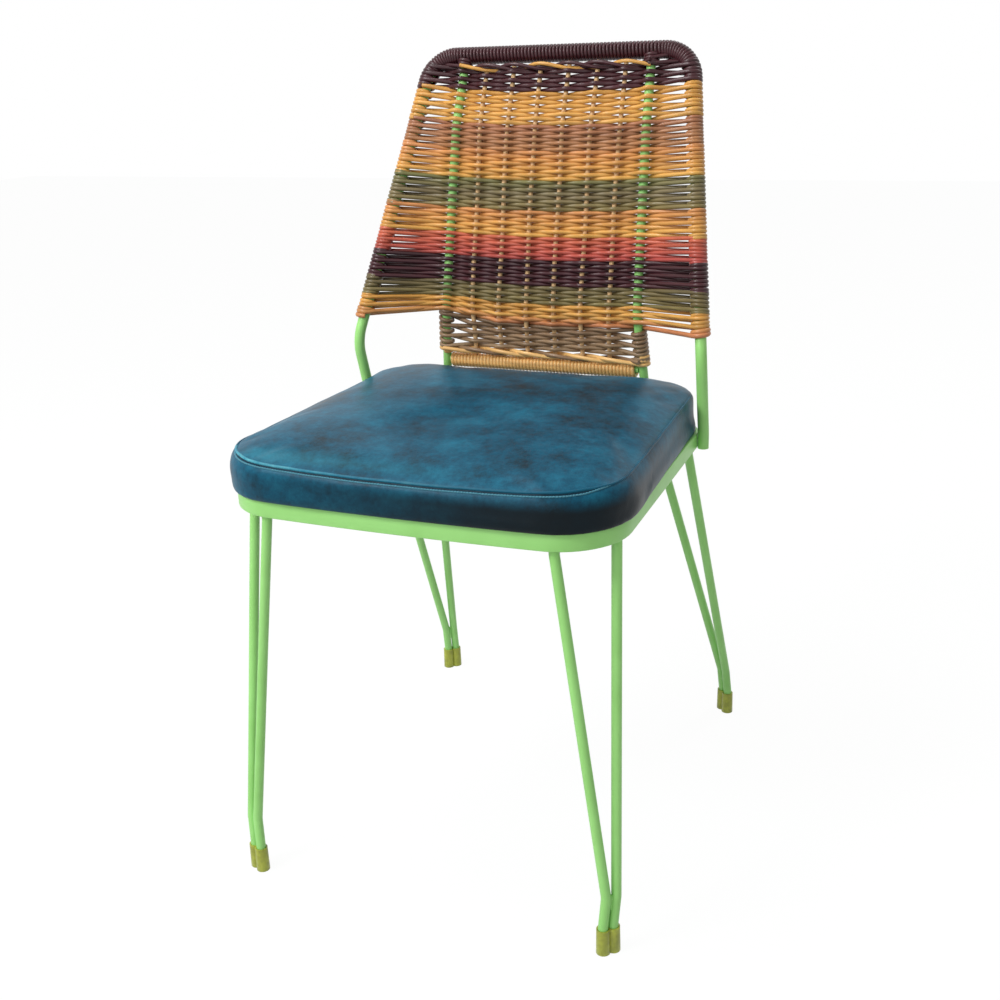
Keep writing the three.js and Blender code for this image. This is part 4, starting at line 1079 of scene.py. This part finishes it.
# Each band: its node, its rows, its height at the hoop in millimetres and its dye.
BANDS = [
    ("weave_plum_top", 6, 20.1, "plum"),
    ("weave_ochre_upper", 8, 34.5, "ochre"),
    ("weave_pink_brown", 8, 27, "pink_brown"),
    ("weave_orange_upper", 8, 31.3, "orange"),
    ("weave_olive_grey", 8, 32.2, "olive_grey"),
    ("weave_orange_lower", 7, 27.9, "orange"),
    ("weave_red", 7, 24.6, "red"),
    ("weave_plum_lower", 7, 28, "plum"),
    ("weave_olive_lower", 5, 20, "khaki"),
    ("weave_ochre_lower", 4, 15, "ochre"),
    ("weave_pink_lower", 2, 8, "pink"),
]
ROW_COUNT = sum(rows for _, rows, _, _ in BANDS)
WEAVE_TOP = HOOP_TOP.z - mm(11)
TOP_BAND = mm(BANDS[0][2])
WEAVE_HEIGHT = mm(sum(height for _, _, height, _ in BANDS))
# How much lower the first row, the rows below the top band and, on top of that, the last row hang at
# the middle.
FIRST_SAG = mm(0.5)
ROW_SAG = mm(8.3)
LAST_SAG_MORE = mm(0.5)
RIGHT_DROP = mm(2.6)
# The last rows are drawn up at the left rod: by how much, over which height and how far across.
DRAWN_UP = mm(9)
DRAWN_UP_HEIGHT = mm(37)
DRAWN_UP_REACH = mm(60)
# The rows whose pitch the strand's diameter is given for, and how much thicker the last bands' is.
LOOSE_PITCH = mm(4)
LAST_BANDS_FROM = mm(560)
LAST_BANDS_MORE = mm(0.6)


def sag(edge_z):
    """How much lower a row hangs at its middle than at the hoop."""
    top_share = clamp((WEAVE_TOP - edge_z) / TOP_BAND)
    low_share = clamp((WEAVE_TOP - TOP_BAND - edge_z) / (WEAVE_HEIGHT - TOP_BAND))
    return mix(FIRST_SAG, ROW_SAG, top_share) + LAST_SAG_MORE * low_share


def band_row(edge_z):
    """A row of the bands, a little lower at the right. The last rows are drawn up at the left rod."""
    reach = HOOP.at_height(edge_z).x
    lean = RIGHT_DROP * clamp((HOOP_TOP.z - edge_z) / TOP_BAND)
    low = WEAVE_TOP - WEAVE_HEIGHT + DRAWN_UP_HEIGHT - edge_z
    drawn_up = DRAWN_UP * clamp(low / DRAWN_UP_HEIGHT)

    def height_at(x):
        near_rod = max(0.0, 1 - abs(x + ROD_KNEE.x) / DRAWN_UP_REACH)
        across = (x / reach + 1) / 2
        return edge_z - sag(edge_z) * (1 - (x / reach) ** 2) + drawn_up * near_rod - lean * across
    return edge_z, edge_z - lean, height_at


def skirt_row(left_z, right_z, middle_z):
    """A row of the skirt, which climbs to the left rod along its whole half and to the right one late."""
    def height_at(x):
        if x < 0:
            return mix(middle_z, left_z, abs(x / ROD_KNEE.x) ** 2)
        return mix(middle_z, right_z, abs(x / ROD_KNEE.x) ** 5)
    return left_z, right_z, height_at


class ChairStakes(bpy.types.Operator):
    """Sets the six cane stakes between the crossbar and the top bar"""
    bl_idname = "chair.stakes"
    bl_label = "Stakes"

    def execute(self, context):
        weave = context.scene.chair_weave
        heights = [CROSSBAR.z + mm(7), *[mm(z) for z in range(500, 801, 12)], HOOP_TOP.z - mm(9)]
        for i, x in enumerate(STAKE_PLACES):
            # A real stake isn't straight, so each sways half a millimetre from side to side.
            points = [on_rods(x + mm(0.5) * math.sin(z * 40 + i * 1.9), z) for z in heights]
            stake = strand_mesh(f"cane_stake_{i + 1}", [points], weave.stake / 2, 12)
            finish_piece(stake, finish_of("cane"), "rattan_stake", f"stake_{i + 1}")
        return {"FINISHED"}


class ChairBands(bpy.types.Operator):
    """Weaves the eleven colour bands"""
    bl_idname = "chair.bands"
    bl_label = "Woven bands"

    def execute(self, context):
        weave = context.scene.chair_weave
        steel = context.scene.chair_frame
        uprights = [rod_upright(-1, steel.rod / 2)]
        uprights += [stake_upright(x, weave.stake / 2) for x in STAKE_PLACES]
        uprights += [rod_upright(1, steel.rod / 2)]
        edge = Edge(HOOP, steel.hoop / 2, 1.2, mean_axis, ROD.at_height)
        index = 0
        top = WEAVE_TOP
        for node, count, height, kind in BANDS:
            bottom = top - mm(height)
            pitch = mm(height) / count
            middle_pitch = (band_row(top)[2](0) - band_row(bottom)[2](0)) / count
            # Tightly drawn rows press each other thinner, and the last bands are of a thicker strand.
            strand = weave.strand + (middle_pitch - LOOSE_PITCH) * 0.6
            if top < LAST_BANDS_FROM:
                strand += LAST_BANDS_MORE
            rows = [band_row(top - (r + 0.5) * pitch) for r in range(count)]
            tail = 0.5 if node == BANDS[-1][0] else WRAP_TURNS
            path = woven_path(edge, uprights, rows, index, strand, tail)

            def tone(point, high=top, reach=mm(height)):
                drop = 1 - (point.x / HOOP.at_height(high - reach / 2).x) ** 2
                return clamp((high - point.z - sag(high) * max(0, drop)) / reach)
            band = strand_mesh(node.replace("weave", "band"), [path], strand / 2, weave.sides, tone)
            dye_piece(band, kind, node)
            index += count
            top = bottom
        return {"FINISHED"}


# A strand of a twisted border lies high, low and level at three uprights in turn.
BORDER_RISES = (mm(2.3), mm(-1.7), mm(0))


def border_spots(context, end_x):
    """The places across and the radii of the uprights that a twisted border passes."""
    rod = context.scene.chair_frame.rod / 2
    stake = context.scene.chair_weave.stake / 2
    return [(-end_x, rod), *[(x, stake) for x in STAKE_PLACES], (end_x, rod)]


def twisted_knots(spots, heights, shift, strand):
    """A border strand that passes before two uprights and behind the third; a shift sets where it starts."""
    knots = []
    for i, ((x, radius), height) in enumerate(zip(spots, heights)):
        step = (i + shift) % 3
        z = height + BORDER_RISES[step]
        spot = ROD.at_height(z)
        # A strand lies outermost where it crosses over the one that started before it.
        reach = radius + strand / 2 + (strand * 0.9 if step == 0 else 0)
        knots.append(Vector((x, spot.y, z)) + front_of(rod_axis(z)) * (-reach if step == 2 else reach))
    return knots


class ChairSkirt(bpy.types.Operator):
    """Weaves the skirt between the back rods and the twisted border that ends it"""
    bl_idname = "chair.skirt"
    bl_label = "Skirt"

    def execute(self, context):
        weave = context.scene.chair_weave
        steel = context.scene.chair_frame
        edge = Edge(ROD, steel.rod / 2, 1.3, rod_axis, lambda z: on_rods(STAKE_PLACES[-1], z))
        uprights = [stake_upright(x, weave.stake / 2) for x in STAKE_PLACES]
        strand = weave.skirt_strand
        # The rows lie closest at the middle and spread towards the rods.
        rows = [skirt_row(mm(537.0 - 6.3 * r), mm(525 - 4.7 * r), mm(524.8 - 4.2 * r)) for r in range(7)]
        path = woven_path(edge, uprights, rows, ROW_COUNT, strand)
        skirt = strand_mesh("skirt_rows", [path], strand / 2, weave.sides,
                            lambda point: clamp((mm(535) - point.z) / mm(40)))
        dye_piece(skirt, "grey_brown", "skirt_grey_brown")
        spots = border_spots(context, ROD_KNEE.x + mm(4))
        heights = [mm(494.5 - 0.45 * i) for i in range(len(spots))]
        strand = weave.winding * 1.2
        twists = [smooth_run(twisted_knots(spots, heights, shift, strand), mm(3)) for shift in range(3)]
        loops = [
            smooth_run(edge_wrap(edge, hand, ROD.run_at(mm(z)), mm(fall), turns, True, strand), mm(2))
            for hand, z, fall, turns in ((1, 497.5, 11, 2.6), (-1, 494.5, 3, 1))
        ]
        tan = strand_mesh("skirt_border_tan", [twists[0], twists[1], *loops], strand / 2, weave.sides)
        dye_piece(tan, "tan", "skirt_tan")
        brown = strand_mesh("skirt_border_brown", [twists[2]], strand / 2, weave.sides)
        dye_piece(brown, "grey_brown")
        return {"FINISHED"}


# A winding reads its route's bend over this length each way, and is tightest from this bend in radians.
BEND_REACH = mm(5)
FULL_BEND = 0.2


def coil(route, start, end, pitch, bend_pitch, radius):
    """A strand wound round a route, tighter where the route bends; gives its points and their centres."""
    points = []
    run = start
    step = 0
    while run < end:
        centre = route.at(run)
        tangent = route.direction(run)
        bend = route.direction(run - BEND_REACH).angle(route.direction(run + BEND_REACH))
        side = Vector((0, 1, 0))
        side = (side - tangent * side.dot(tangent)).normalized()
        angle = 2 * math.pi * step / WRAP_STEPS
        out = side * math.cos(angle) + tangent.cross(side) * math.sin(angle)
        points.append((centre + out * radius, centre))
        run += mix(pitch, bend_pitch, clamp(bend / FULL_BEND)) / WRAP_STEPS
        step += 1
    return points


class ChairBinding(bpy.types.Operator):
    """Winds the plum binding round the top bar and the tan strand round the crossbar"""
    bl_idname = "chair.binding"
    bl_label = "Windings"

    def execute(self, context):
        weave = context.scene.chair_weave
        steel = context.scene.chair_frame
        strand = weave.winding
        radius = (steel.hoop + strand) / 2
        beside = (steel.rod + strand) / 2
        start = HOOP.run_at(WEAVE_TOP - mm(5))
        wound = coil(HOOP, start, HOOP.length - start, weave.binding_pitch, weave.bend_pitch, radius)
        paths = [[self.beside_rod(spot, centre, radius, beside) for spot, centre in wound]]
        # The tops of the back rods are lashed to the bar with the same strand.
        turns = coil(ROD, ROD.length - mm(9), ROD.length + mm(1.5), mm(3.6), mm(3.6), beside)
        lashing = [spot for spot, _ in turns]
        paths += [lashing, [mirrored(spot) for spot in lashing]]
        # Short strands fill the corner between a rod's top and the bend of the hoop.
        for i, (hand, face) in enumerate(((1, 1), (1, -1), (1, 1), (-1, -1), (-1, 1), (-1, -1))):
            drop = mm(4.2) * (i % 3)
            start = ROD.at_height(HOOP_TOP.z - mm(10.5) - drop * 0.6)
            start += front_of(rod_axis(start.z)) * face * beside
            end = HOOP.at_height(HOOP_TOP.z - mm(3.5) - drop)
            paths.append([side_of(start.lerp(end, share / 6), hand) for share in range(7)])
        winding = strand_mesh("bar_winding", paths, strand / 2, weave.sides)
        dye_piece(winding, "plum", "top_binding_left", "top_binding_middle", "top_binding_right")
        half = CROSSBAR.x - steel.rod / 2 - mm(1.5)
        strand = weave.winding * 1.16
        bar = Route([Vector((hand * half, CROSSBAR.y, CROSSBAR.z - mm(1.2))) for hand in (-1, 1)])
        turns = coil(bar, mm(1), bar.length - mm(1), weave.wrap_pitch, weave.wrap_pitch,
                     (steel.crossbar + strand) / 2)
        winding = strand_mesh("crossbar_winding", [[spot for spot, _ in turns]], strand / 2, weave.sides)
        dye_piece(winding, "tan", "crossbar_wrap")
        return {"FINISHED"}

    def beside_rod(self, spot, centre, radius, clear):
        """Moves the underside of a turn to the nearer side of a back rod that stands in its way."""
        under = clamp(2 * (centre.z - spot.z) / radius - 1)
        for rod_x in (ROD_TOP.x, -ROD_TOP.x):
            away = centre.x - rod_x
            if under > 0 and abs(away) < clear:
                return spot + Vector((math.copysign(clear - abs(away), away) * under, 0, 0))
        return spot


class ChairBorder(bpy.types.Operator):
    """Lays the three-strand border under the top bar"""
    bl_idname = "chair.border"
    bl_label = "Top border"

    def execute(self, context):
        weave = context.scene.chair_weave
        spots = border_spots(context, ROD_TOP.x + mm(2))
        heights = [HOOP_TOP.z - mm(15.5)] * len(spots)
        for name, shift, kind, nodes in (
            ("border_ochre", 0, "ochre", ["top_border_ochre"]),
            ("border_plum_first", 1, "plum", ["top_border_plum"]),
            ("border_plum_second", 2, "plum", []),
        ):
            path = smooth_run(twisted_knots(spots, heights, shift, weave.winding), mm(3))
            dye_piece(strand_mesh(name, [path], weave.winding / 2, weave.sides), kind, *nodes)
        return {"FINISHED"}


# Padded seat

CROWN = mm(14)
SIDE_BULGE = mm(9)
# The seam's height over the rail at the sides' front end, its rise to the rear and its dip at the front.
SEAM_HEIGHT = mm(40)
SEAM_REAR_RISE = mm(5)
SEAM_FRONT_DIP = mm(4)
# The length over which the cover gives way to the uprights.
TUCK_LENGTH = mm(23)
# The cushion's side, ring by ring from the underside: its share of the bulge, its share of the way up to
# the seam, and how much further out the front's middle stands in millimetres.
SIDE_RINGS = (
    (0.45, 0.08, 0), (0.75, 0.2, 0.3), (0.94, 0.36, 0.6), (1.0, 0.52, 1.0),
    (0.95, 0.68, 2.0), (0.75, 0.83, 3.2), (0.4, 0.94, 4.4),
)
# Its top, ring by ring inwards: each ring's size as a share of the seam's.
TOP_RING_SHARES = (0.985, 0.95, 0.88, 0.78, 0.65, 0.5, 0.33, 0.16)
# The cover moves freely above this height and is held below it.
HELD_BELOW = RAIL_TOP + mm(4)
CLOTH_FRAMES = 20
# The upper welt and the stitched one lie this far above and below the front seam.
UPPER_WELT = mm(1.9)
LOWER_WELT = mm(2.2)
# One stitch's tuck: places along it from its middle, and how far each is off the skin.
TUCK = ((-1, mm(-0.5)), (-0.5, mm(0.25)), (0.5, mm(0.25)), (1, mm(-0.5)))


def frontness(point):
    """1 at the middle of the front edge and 0 at the sides and rear."""
    half = RAIL_DEPTH / 2
    depth = clamp((-(point.y - RAIL_MIDDLE) / half - 0.6) / 0.4)
    across = clamp(1 - (point.x / (RAIL_WIDTH_FRONT / 2)) ** 2)
    return depth * across


def swell_offset(point, free, beside, z):
    """How far the cover stands out, with the uprights pressing it in beside and behind them."""
    tuck = clamp((point.y - HOOP_BASE_Y + TUCK_LENGTH * 2) / TUCK_LENGTH)
    behind = clamp((point.y - HOOP_BASE_Y) / TUCK_LENGTH)
    rear = ROD.at_height(z).y - ROD_RADIUS - mm(1) - RAIL_REAR
    return mix(free, mix(beside, rear, behind), tuck)


def seam_height(point):
    rise = SEAM_REAR_RISE * clamp((point.y - RAIL_FRONT) / RAIL_DEPTH)
    return RAIL_TOP + SEAM_HEIGHT + rise - SEAM_FRONT_DIP * frontness(point)


def cover_ring(offset_of, height_of, inset):
    """A ring round the cushion at its own offsets and heights, drawn in by an inset."""
    ring = []
    for i, point in enumerate(rail_outline(0)):
        z = height_of(point)
        moved = rail_outline(round(offset_of(point, z) - inset, 6))[i]
        ring.append(Vector((moved.x, moved.y, z)))
    return ring


def seat_form(inset):
    """Rings of the cushion from its underside to its crown, and the ring at its seam."""
    # It starts below the rail's top and is then pressed flat on it, so that its edge isn't rounded off.
    bottom = RAIL_TOP - mm(5)

    def level(free, front_extra, beside, z_share):
        return cover_ring(
            lambda p, z: swell_offset(p, free + front_extra * frontness(p), beside, z),
            lambda p: mix(bottom, seam_height(p), z_share), inset,
        )
    rings = [cover_ring(lambda p, z: mm(-1), lambda p: bottom, inset)]
    for share_out, z_share, front_extra in SIDE_RINGS:
        rings.append(level(SIDE_BULGE * share_out, mm(front_extra), mm(-1.2), z_share))
    seam = level(mm(-1), mm(5), mm(-2.4), 1)
    rings.append(seam)
    centre = Vector((0, RAIL_MIDDLE, 0))
    for share in TOP_RING_SHARES:
        rise = CROWN * (1 - share ** 4.5)
        rings.append([
            Vector((mix(centre.x, p.x, share), mix(centre.y, p.y, share), p.z + rise)) for p in seam
        ])
    return rings, seam


class ChairSeat(bpy.types.Operator):
    """Pads the seat: a closed cover that swells over the rail, then its seams"""
    bl_idname = "chair.seat"
    bl_label = "Padded seat"

    def execute(self, context):
        settings = context.scene.chair_seat
        rings, _ = seat_form(mm(1.2))
        seat = self.closed_form(rings)
        modifier(seat, "REMESH", mode="VOXEL", voxel_size=settings.voxel)
        modifier(seat, "SMOOTH", factor=0.5, iterations=4)
        self.swell(context, seat, settings)
        modifier(seat, "SMOOTH", factor=0.5, iterations=3)
        self.press(seat)
        modifier(seat, "SUBSURF", levels=1, render_levels=1)
        shade(seat, 180)
        finish_piece(seat, finish_of("cover"), "leatherette", "cushion_cover", "cushion_foam")
        self.seams(seat, settings)
        return {"FINISHED"}

    def closed_form(self, rings):
        mesh = bpy.data.meshes.new("padded_seat")
        build = bmesh.new()
        rows = [[build.verts.new(point) for point in ring] for ring in rings]
        count = len(rings[0])
        for low, high in zip(rows, rows[1:]):
            for j in range(count):
                k = (j + 1) % count
                build.faces.new((low[j], low[k], high[k], high[j]))
        build.faces.new(list(reversed(rows[0])))
        apex = build.verts.new((0, RAIL_MIDDLE, sum(p.z for p in rings[-1]) / count))
        for j in range(count):
            build.faces.new((rows[-1][j], rows[-1][(j + 1) % count], apex))
        build.to_mesh(mesh)
        build.free()
        obj = bpy.data.objects.new("padded_seat", mesh)
        bpy.context.collection.objects.link(obj)
        return obj

    def swell(self, context, seat, settings):
        """Cloth under pressure; the underside is held and no point moves past the limit."""
        only(seat)
        held = seat.vertex_groups.new(name="underside")
        held.add([v.index for v in seat.data.vertices if v.co.z < HELD_BELOW], 1.0, "REPLACE")
        rest = [v.co.copy() for v in seat.data.vertices]
        bpy.ops.object.modifier_add(type="CLOTH")
        cloth = seat.modifiers[-1]
        cloth.settings.quality = 5
        cloth.settings.mass = 0.3
        cloth.settings.tension_stiffness = 20
        cloth.settings.compression_stiffness = 20
        cloth.settings.bending_stiffness = 2
        cloth.settings.use_pressure = True
        cloth.settings.uniform_pressure_force = settings.pressure
        cloth.settings.vertex_group_mass = held.name
        cloth.settings.effector_weights.gravity = 0
        cloth.collision_settings.use_collision = False
        for step in range(1, CLOTH_FRAMES + 1):
            context.scene.frame_set(step)
        shaped = seat.evaluated_get(context.evaluated_depsgraph_get())
        swollen = [v.co.copy() for v in shaped.data.vertices]
        seat.modifiers.remove(cloth)
        for vert, before, after in zip(seat.data.vertices, rest, swollen):
            move = after - before
            if move.length > settings.swell:
                move = move.normalized() * settings.swell
            vert.co = before + move
        seat.vertex_groups.clear()
        context.scene.frame_set(1)

    def push_out(self, seat, distance):
        for vert in seat.data.vertices:
            if vert.co.z > HELD_BELOW:
                vert.co = vert.co + vert.normal * distance

    def press(self, seat):
        """Rests the cushion on the rail and keeps it clear of the uprights."""
        lowest = RAIL_TOP + mm(0.1)
        for vert in seat.data.vertices:
            rise = vert.co.z - lowest
            vert.co.z = lowest + max(0.0, rise) * clamp(rise / mm(9)) ** 0.7
            for route, radius in ((HOOP, HOOP_RADIUS), (ROD, ROD_RADIUS)):
                centre = route.at_height(max(vert.co.z, RAIL_TOP))
                away = Vector((abs(vert.co.x) - centre.x, vert.co.y - centre.y, 0))
                clear = radius + mm(0.5)
                if away.length < clear:
                    away = away.normalized() * clear if away.length else Vector((-clear, 0, 0))
                    vert.co.x = math.copysign(centre.x + away.x, vert.co.x)
                    vert.co.y = centre.y + away.y

    def seams(self, seat, settings):
        """The twin welt along the front, the single one round the sides, and the stitches."""
        only(seat)
        tree = BVHTree.FromObject(seat, bpy.context.evaluated_depsgraph_get())
        ordered = self.from_left_rear(seat_form(0)[1])
        surface = []
        for point in smooth_run(ordered, mm(3)):
            spot, normal, _, _ = tree.find_nearest(point)
            surface.append((spot, normal))
        surface = self.evened(surface)
        front = [i for i, (spot, _) in enumerate(surface) if spot.y < RAIL_FRONT + mm(40)]
        low, high = front[0], front[-1]
        count = len(surface)
        rim, lower, shadow_spots = [], [], []
        for i, (spot, normal) in enumerate(surface):
            before = surface[max(i - 1, 0)][0]
            after = surface[min(i + 1, count - 1)][0]
            along = (after - before).normalized()
            down = along.cross(normal).normalized()
            if down.z > 0:
                down = -down
            spread = clamp(min(i - low, high - i) / 10)
            rim.append(self.on_skin(tree, spot - down * UPPER_WELT * spread, 0))
            if low < i < high:
                lower.append((spot + down * LOWER_WELT * spread, along))
                shadow_spots.append((spot, down * spread))
        sides = strand_mesh("seat_side_seam", [rim[:low + 1], rim[high:]], settings.welt * 0.8, 8)
        finish_piece(sides, finish_of("cover"), "leatherette")
        welt = strand_mesh("seat_front_welt", [rim[low:high + 1]], settings.welt, 10)
        # Its finish holds a painted highlight.
        finish_piece(welt, finish_of("rubbed"), "leatherette")
        # A thin dark strand between the upper welt and the stitches paints the groove's shade.
        shadow_line = [self.on_skin(tree, spot + down * mm(0.35), mm(-0.5)) for spot, down in shadow_spots]
        fold = strand_mesh("seat_front_fold", [shadow_line], mm(1.0), 8)
        finish_piece(fold, finish_of("fold"), "leatherette")
        self.stitch_row(tree, lower, settings)

    def on_skin(self, tree, point, lift):
        spot, normal, _, _ = tree.find_nearest(point)
        return spot + normal * lift

    def from_left_rear(self, ring):
        """The ring without its rear run, from the left rear round the front to the right rear."""
        kept = [p for p in ring if p.y < HOOP_BASE_Y - mm(4)]
        corner = RAIL_FRONT + RAIL_RADIUS_FRONT
        left = sorted([p for p in kept if p.x < 0 and p.y > corner], key=lambda p: -p.y)
        right = sorted([p for p in kept if p.x > 0 and p.y > corner], key=lambda p: p.y)
        front = sorted([p for p in kept if p.y <= corner], key=lambda p: p.x)
        ends = HOOP_BASE_Y - mm(6)
        first = Vector((-outline_x(mm(-2), ends), ends, seam_height(Vector((0, ends, 0)))))
        return [first, *left, *front, *right, mirrored(first)]

    def evened(self, surface):
        """Smooths the places that were found on the skin."""
        spots = [spot for spot, _ in surface]
        for _ in range(6):
            inner = [(a + b * 2 + c) / 4 for a, b, c in zip(spots, spots[1:], spots[2:])]
            spots = [spots[0], *inner, spots[-1]]
        return [(spot, normal) for spot, (_, normal) in zip(spots, surface)]

    def stitch_row(self, tree, line, settings):
        """The puckered second welt: one short raised tuck to each stitch."""
        paths = []
        half = settings.stitch * 0.44
        travelled = 0.0
        due = 0.0
        for (spot, along), (following, _) in zip(line, line[1:]):
            reach = (following - spot).length
            while due <= travelled + reach:
                middle = spot.lerp(following, (due - travelled) / reach)
                paths.append([
                    self.on_skin(tree, middle + along * half * share, lift) for share, lift in TUCK
                ])
                due += settings.stitch
            travelled += reach
        row = strand_mesh("seat_stitches", paths, mm(0.85), 8)
        finish_piece(row, finish_of("thread"), "leatherette")


class ChairUnderside(bpy.types.Operator):
    """Finishes the board, tabs and screws under the seat"""
    bl_idname = "chair.underside"
    bl_label = "Board, tabs and screws"

    def execute(self, context):
        finishes = {"seat_board": "plywood"}
        for spot in ("front", "rear", "left", "right"):
            finishes[f"{spot}_fixing_tab"] = "paint"
            finishes[f"{spot}_seat_screw"] = "zinc"
        for node, kind in finishes.items():
            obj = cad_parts[node]
            obj.data.materials.clear()
            obj.data.materials.append(finish_of(kind))
        return {"FINISHED"}


class ChairStage(bpy.types.Operator):
    """Sets the floor, the soft lights, the white surroundings and the camera"""
    bl_idname = "chair.stage"
    bl_label = "Stage"

    def execute(self, context):
        settings = context.scene.chair_stage
        only_none()
        bpy.ops.mesh.primitive_plane_add(size=14, location=(0, 0, -0.0005))
        floor = named("studio_floor")
        settle(floor)
        floor.data.materials.append(self.floor_finish(settings))
        aim = Vector((0, 0, 0.45))
        for name, spot, size, power in (
            ("key_softbox", (-1.35, -1.9, 2.3), 0.9, settings.key),
            ("front_softbox", (-0.3, -2.9, 1.25), 1.3, settings.front),
            ("top_softbox", (-0.9, -0.3, 2.7), 0.9, settings.key * 0.5),
            ("rear_softbox", (1.1, 1.9, 2.6), 1.0, settings.rear),
        ):
            only_none()
            bpy.ops.object.light_add(type="AREA", location=spot)
            lamp = bpy.context.object
            lamp.name = name
            lamp.data.energy = power
            lamp.data.size = size
            lamp.rotation_euler = (aim - Vector(spot)).to_track_quat("-Z", "Y").to_euler()
        self.surroundings(context, settings)
        self.camera(context, settings)
        context.scene.view_settings.view_transform = "Standard"
        return {"FINISHED"}

    def backdrop_rays(self, tree):
        """1 for a ray that the camera, a gloss or a clear piece sends to the backdrop, else 0."""
        path = add_node(tree, "ShaderNodeLightPath")
        seen = path.outputs["Is Camera Ray"]
        for ray in ("Is Glossy Ray", "Is Transmission Ray"):
            larger = add_node(tree, "ShaderNodeMath", links={0: seen, 1: path.outputs[ray]},
                              operation="MAXIMUM")
            seen = larger.outputs["Value"]
        return seen

    def floor_finish(self, settings):
        """Pale matt floor that the camera sees nearly white, with the chair's shadow on it."""
        material, tree, shader, here = new_finish("pale_floor")
        dust = add_node(tree, "ShaderNodeTexNoise", {"Scale": 60, "Detail": 2}, here)
        tone = add_node(tree, "ShaderNodeValToRGB", links={"Fac": dust.outputs["Fac"]},
                        stops=((0.0, shifted(settings.floor, -0.02)), (1.0, tuple(settings.floor))))
        feed(tree, shader, {"Roughness": 0.9, "Specular IOR Level": 0.1},
             {"Base Color": tone.outputs["Color"]})
        glow = add_node(tree, "ShaderNodeEmission", {"Color": rgba((1, 1, 1)), "Strength": 1.06})
        share = add_node(tree, "ShaderNodeMath", {1: 0.9}, {0: self.backdrop_rays(tree)},
                         operation="MULTIPLY")
        blend = add_node(tree, "ShaderNodeMixShader", links={
            0: share.outputs["Value"],
            1: shader.outputs["BSDF"],
            2: glow.outputs["Emission"],
        })
        feed(tree, tree.nodes["Material Output"], links={"Surface": blend.outputs["Shader"]})
        return material

    def surroundings(self, context, settings):
        """Even light all round, and plain white where the camera, gloss or glass looks past the chair."""
        world = bpy.data.worlds.new("studio_white")
        context.scene.world = world
        world.use_nodes = True
        tree = world.node_tree
        strength = add_node(tree, "ShaderNodeMapRange", {"To Min": settings.sky, "To Max": 1.0},
                            {"Value": self.backdrop_rays(tree)})
        feed(tree, tree.nodes["Background"], {"Color": rgba((1, 1, 1))},
             {"Strength": strength.outputs["Result"]})

    def camera(self, context, settings):
        only_none()
        turn, tilt, roll = math.radians(23.098), math.radians(19.604), math.radians(-2.002)
        look = Vector((-math.sin(turn) * math.cos(tilt), math.cos(turn) * math.cos(tilt), -math.sin(tilt)))
        right = Vector((math.cos(turn), math.sin(turn), 0))
        upward = right.cross(look)
        rolled = right * math.cos(roll) + upward * math.sin(roll)
        top = upward * math.cos(roll) - right * math.sin(roll)
        bpy.ops.object.camera_add(location=place(505.92, -1136.17, 820.69))
        camera = bpy.context.object
        camera.name = "photo_camera"
        columns = (rolled, top, -look)
        turned = Matrix([[column[i] for column in columns] for i in range(3)])
        camera.rotation_euler = turned.to_euler()
        camera.data.lens = settings.lens
        camera.data.sensor_width = 36
        camera.data.sensor_fit = "HORIZONTAL"
        camera.data.clip_start = 0.05
        context.scene.camera = camera


STEPS = (
    "stage", "seat_rail", "legs", "foot_caps", "hoop", "stakes", "bands", "skirt", "binding", "border",
    "seat", "underside",
)


class ChairPanel(bpy.types.Panel):
    bl_idname = "VIEW3D_PT_cafe_chair"
    bl_label = "Cafe chair"
    bl_space_type = "VIEW_3D"
    bl_region_type = "UI"
    bl_category = "Cafe chair"

    def draw(self, context):
        for settings in (context.scene.chair_frame, context.scene.chair_weave, context.scene.chair_seat,
                         context.scene.chair_stage):
            box = self.layout.box()
            for name in settings.bl_rna.properties.keys():
                if name not in {"rna_type", "name"}:
                    box.prop(settings, name)
        for step in STEPS:
            self.layout.operator(f"chair.{step}")


GROUPS = {
    "chair_frame": ChairFrameSettings,
    "chair_weave": ChairWeaveSettings,
    "chair_seat": ChairSeatSettings,
    "chair_stage": ChairStageSettings,
}
CLASSES = (
    ChairSeatRail, ChairLegs, ChairFootCaps, ChairHoop, ChairStakes, ChairBands, ChairSkirt, ChairBinding,
    ChairBorder, ChairSeat, ChairUnderside, ChairStage, ChairPanel,
)


def register():
    for name, group in GROUPS.items():
        bpy.utils.register_class(group)
        setattr(bpy.types.Scene, name, PointerProperty(type=group))
    for cls in CLASSES:
        bpy.utils.register_class(cls)


def unregister():
    for cls in reversed(CLASSES):
        bpy.utils.unregister_class(cls)
    for name, group in GROUPS.items():
        delattr(bpy.types.Scene, name)
        bpy.utils.unregister_class(group)


def main():
    register()
    for step in STEPS:
        getattr(bpy.ops.chair, step)()


if __name__ == "__main__":
    main()
